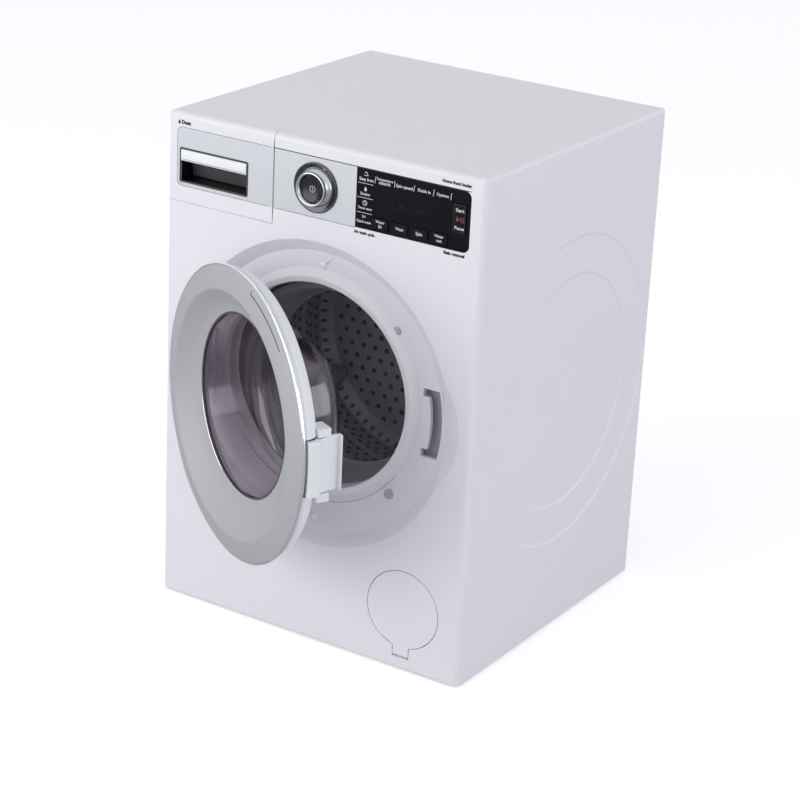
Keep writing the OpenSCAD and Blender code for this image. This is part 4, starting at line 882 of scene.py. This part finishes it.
# %% Joints round the drawer
side_joint = block("drawer_joint", (-28.0, FRONT - 0.03, 224.3), (-27.7, FRONT + 0.4, 254.6), 0)
dressed(side_joint, joint_grey, "drawer", "white_shell")
under_joint = block("drawer_joint_low", (-92, FRONT + 0.03, 216.02), (-37, FRONT + 0.7, 216.18), 0)
dressed(under_joint, joint_faint, "cabinet", "white_shell")
trim_joint = frame_line("trim_joint", (-86.72, 224.28), (-27.9, 254.55), 0.25, 3.1,
                        FRONT - 0.04, FRONT + 0.1)
dressed(trim_joint, joint_grey, "drawer", "white_shell")

# %% Joint round the lip of the opening
FLOOR = -84  # y of the floor of the recess
lip_line = [(56.9, FLOOR + 0.1), (57.0, FLOOR - 0.12), (57.2, FLOOR - 0.12), (57.3, FLOOR + 0.1),
            (56.9, FLOOR + 0.1)]
lip_joint = turned("lip_joint", lip_line, DOOR, 128)
dressed(lip_joint, joint_pale, "cabinet", "white_shell")

# %% [markdown]
# ## Pegs and pads
# Two small pegs, above and below the opening, and two soft pads on its right take the knocks of the
# door. Half a sphere would look like a bead, while a moulded peg has a short straight side and a round
# top, so each is a little turned cap on the floor of the recess. The grey of the pads is painted shade.


# %% Pegs and pads on the floor of the recess
def cap(name, profile, x, above, steps, finish):
    """A cap with a profile of (radius, height) points, at x and at a height above the axle (mm)."""
    outline = [(radius, FLOOR - height) for radius, height in profile]
    return dressed(turned(name, outline, (x, AXLE_Z + above), steps), finish, "cabinet", "white_shell")


PEG = [(1.95, -0.05), (1.9, 0.3), (1.65, 0.8), (1.2, 1.1), (0.7, 1.2), (0, 1.2), (0, -0.05)]
PEG_ABOVE = 66.5
PAD = [(2.6, -0.05), (2.55, 0.6), (2.2, 1.2), (1.6, 1.5), (0, 1.55), (0, -0.05)]
PAD_X, PAD_ABOVE = 44.1, 42.6
for side in (1, -1):
    cap("peg_cap", PEG, 0, side * PEG_ABOVE, 24, white_gloss)
# The pads' grey caps are painted shade.
for side in (1, -1):
    cap("pad_cap", PAD, PAD_X, side * PAD_ABOVE, 28, pad_shade_grey)

# %% [markdown]
# ## The finger grip on the ring
# Near the top of the silver ring a shallow grip is let into the band. Only its inner edge shows, as a
# thin dark line of shade that follows the ring for a twelfth of a turn and hooks outwards at its upper
# end. A groove would have to be cut into the ring's own mesh, so a thin dark strip of painted shade is
# turned along it instead, and a short one across its end makes the hook.

# %% The line of the grip
PROUD = 0.06  # over the band
FROM = radians(75)  # the upper end of the grip
line = [(69.3, -103.2), on_band(69.32, PROUD), on_band(69.78, PROUD), (69.8, -103.2), (69.3, -103.2)]
grip = turned("grip_line", line, DOOR, 24, sweep=radians(30), start=FROM)
barb = [on_band(radius, PROUD) for radius in (69.4, 70.4, 71.5)]
line = [(69.4, -103)] + barb + [(71.5, -102.6), (69.4, -103)]
hook = turned("grip_hook", line, DOOR, 1, sweep=radians(0.32), start=FROM + radians(0.2))
alone(hook)
grip.select_set(True)
bpy.context.view_layer.objects.active = grip
bpy.ops.object.join()
# The strip is painted shade along the edge of the grip.
on_door(grip, joint_dark, "ring_silver")

# %% [markdown]
# ## Printed marks
# The marks on the panel are ink a few hundredths of a millimetre thick. They could be painted in the
# shader, but as thin raised shapes they stay sharp at any distance, and each rides on the key that it
# names. Words are text objects turned into meshes, and the small pictures are made from bars and rings.

# %% A word of ink
INK = 0.02  # thickness, mm


def word(text, x0, x1, z, y, weight=0.02):
    """Text from x0 to x1 (mm), its middle height at z, on the plane y, with bolder strokes by weight."""
    bpy.ops.object.text_add()
    piece = bpy.context.object
    piece.data.body = text
    piece.data.align_x = "CENTER"
    piece.data.align_y = "CENTER"
    piece.data.resolution_u = 3
    piece.data.offset = weight
    piece.data.extrude = 1
    alone(piece)
    bpy.ops.object.convert(target="MESH")
    piece = bpy.context.object
    wide = (x1 - x0) * MM / piece.dimensions.x
    piece.scale = (wide, wide, INK * MM)
    piece.rotation_euler = (pi / 2, 0, 0)
    piece.location = ((x0 + x1) / 2 * MM, y * MM, z * MM)
    bpy.ops.object.transform_apply(location=True, rotation=True, scale=True)
    return piece


# %% A bar, a ring and a drop of ink
def bar(x0, z0, x1, z1, wide, y):
    """A straight stroke from (x0, z0) to (x1, z1), wide across, on the plane y."""
    bpy.ops.mesh.primitive_cube_add(size=1)
    piece = bpy.context.object
    piece.scale = (hypot(x1 - x0, z1 - z0) * MM, 2 * INK * MM, wide * MM)
    piece.rotation_euler = (0, -atan2(z1 - z0, x1 - x0), 0)
    piece.location = ((x0 + x1) / 2 * MM, y * MM, (z0 + z1) / 2 * MM)
    bpy.ops.object.transform_apply(location=True, rotation=True, scale=True)
    return piece


def ring_mark(x, z, radius, wide, y, sides=28):
    """A ring of ink, or a filled disc where wide is 0. With 3 sides it is a triangle."""
    middle = (x * MM, (y + INK) * MM, z * MM)
    bpy.ops.mesh.primitive_circle_add(vertices=sides, radius=radius * MM, fill_type="NGON",
                                      location=middle, rotation=(pi / 2, 0, 0))
    piece = bpy.context.object
    bpy.ops.object.transform_apply(location=True, rotation=True, scale=True)
    edit(piece)
    if wide:
        bpy.ops.mesh.inset(thickness=wide * MM)
        bpy.ops.mesh.delete(type="FACE")
        bpy.ops.mesh.select_all(action="SELECT")
    bpy.ops.mesh.extrude_region_move(TRANSFORM_OT_translate={"value": (0, -2 * INK * MM, 0)})
    bpy.ops.mesh.select_all(action="SELECT")
    bpy.ops.mesh.normals_make_consistent(inside=False)
    close()
    return piece


def drop_mark(x, z, radius, y):
    """A disc whose top is drawn out into the tip of a drop."""
    piece = ring_mark(x, z, radius, 0, y)
    pick(piece, "VERT", lambda item: item.co.z > (z + 0.9 * radius) * MM)
    bpy.ops.transform.resize(value=(0.12, 1, 1), center_override=(x * MM, y * MM, z * MM))
    bpy.ops.transform.translate(value=(0, 0, 1.1 * radius * MM))
    close()
    return piece


# %% Marks joined into one piece
def joined(name, marks):
    alone(marks[0])
    for mark in marks:
        mark.select_set(True)
    if len(marks) > 1:
        bpy.ops.object.join()
    marks[0].name = name
    return marks[0]


# %% Marks on the display
FACE = -89.11  # y of the print on the display
LINE = 0.3
words = [("Easy iron", 22.4, 30.2, 249.1), ("Dosing", 23.2, 28.6, 241.9),
         ("Timer start", 22.0, 30.0, 234.9), ("Quick wash", 21.6, 29.8, 228.2),
         ("Temperature", 32.0, 41.3, 250.75), ("40/60/90", 33.2, 39.8, 248.9),
         ("Spin speed", 43.0, 52.2, 249.6), ("Finish in", 55.2, 62.2, 249.8),
         ("Options", 65.6, 72.2, 249.9)]
dividers = [(31.0, 248.3, 31.6, 251.7), (42.1, 248.3, 42.3, 251.6), (52.8, 248.4, 53.4, 251.7),
            (63.7, 248.5, 64.2, 251.8), (73.4, 248.6, 73.6, 251.8)]
iron = [(24.9, 251.1, 27.3, 251.1), (25.2, 252.3, 26.2, 252.9), (26.2, 252.9, 27.1, 251.2)]
arrows = [(24.6, 230.2, 25.5, 230.8), (24.6, 231.4, 25.5, 230.8), (25.7, 230.2, 26.6, 230.8),
          (25.7, 231.4, 26.6, 230.8)]
hands = [(25.9, 237.5, 25.9, 238.5), (25.9, 237.5, 26.6, 237.1)]

marks = [bar(21.6, edge, 30.2, edge, 0.24, FACE) for edge in (247.1, 240.0, 232.6)]
marks += [word(text, x0, x1, z, FACE) for text, x0, x1, z in words]
marks += [bar(*ends, 0.28, FACE) for ends in dividers]
marks += [bar(*ends, LINE, FACE) for ends in iron + arrows]
marks += [drop_mark(26.0, 244.1, 0.75, FACE), ring_mark(25.9, 237.5, 1.3, 0.32, FACE)]
marks += [bar(*ends, 0.26, FACE) for ends in hands]
dressed(joined("display_marks", marks), ink_light, "cabinet", "display_black")

# %% Digits that are switched off
digits = [word("1:25", 41.5, 48.6, 239.4, FACE), word("60", 54.6, 58.2, 239.6, FACE)]
digits.append(ring_mark(59.4, 241.3, 0.5, 0.2, FACE))
dressed(joined("display_digits", digits), ink_ghost, "cabinet", "display_black")

# %% Marks on the keys
TOUCH = -89.51  # y of the print on the keys
captions = {
    "fill": [("Water", 32.7, 37.8, 229.9), ("in", 34.4, 36.1, 227.8)],
    "wash": [("Wash", 44.0, 48.5, 228.7)],
    "spin": [("Spin", 55.4, 59.0, 228.7)],
    "drain": [("Water", 65.7, 70.8, 229.9), ("out", 66.9, 69.8, 227.8)],
    "start": [("Start", 76.6, 81.3, 244.6), ("Pause", 76.4, 81.5, 236)],
}
for name, lines in captions.items():
    lettering = [word(text, x0, x1, z, TOUCH) for text, x0, x1, z in lines]
    dressed(joined("key_mark_" + name, lettering), ink_light, "key_" + name, "key_black")

# %% Frame and arrow on the start key
edges = frame_line("start_edge", (75.5, 234.1), (81.9, 247.3), 0.16, 0.7, TOUCH - 0.02, TOUCH + 0.02)
dressed(edges, ink_faint, "key_start", "key_black")
ARROW = (77.8, 240.2)
arrow = ring_mark(*ARROW, 1.5, 0, TOUCH, 3)
edit(arrow)
bpy.ops.transform.rotate(value=radians(-90), orient_axis="Y",
                         center_override=(ARROW[0] * MM, TOUCH * MM, ARROW[1] * MM))
close()
pause = [bar(x, 238.9, x, 241.5, 0.7, TOUCH) for x in (79.8, 81.1)]
dressed(joined("key_mark_run", [arrow] + pause), ink_red, "key_start", "key_black")

# %% Marks on the button and the bezel
BUTTON_FACE = -92.15  # y of the print on the button
symbol = [ring_mark(-2.4, 239.4, 1.65, 0.24, BUTTON_FACE, 40),
          bar(-2.4, 238.6, -2.4, 240.2, LINE, BUTTON_FACE)]
dressed(joined("power_mark", symbol), ink_light, "power_button", "button_dark")
tick = block("bezel_tick", (1.7, -90.02, 248.9), (3.5, -89.6, 250.2), 0.4, 3)
dressed(tick, ink_rose, "cabinet", "bezel_smoke")

# %% Marks on the case and the drawer
PRINT = FRONT - 0.01  # y of the print on the case
BOLD = 0.07
case_words = [("Home front loader", 68.2, 84.4, 257.1), ("Air wash cycle", 20.2, 32.2, 222.5),
              ("Stain removal", 70.8, 82.4, 222.8)]
case_marks = [word(text, x0, x1, z, PRINT, BOLD) for text, x0, x1, z in case_words]
dressed(joined("case_marks", case_marks), ink_dark, "cabinet", "white_shell")
drawer_marks = [drop_mark(-85.5, 256.6, 0.8, PRINT), word("Dose", -84.2, -78.4, 256.9, PRINT, BOLD)]
dressed(joined("drawer_marks", drawer_marks), ink_dark, "drawer", "white_shell")
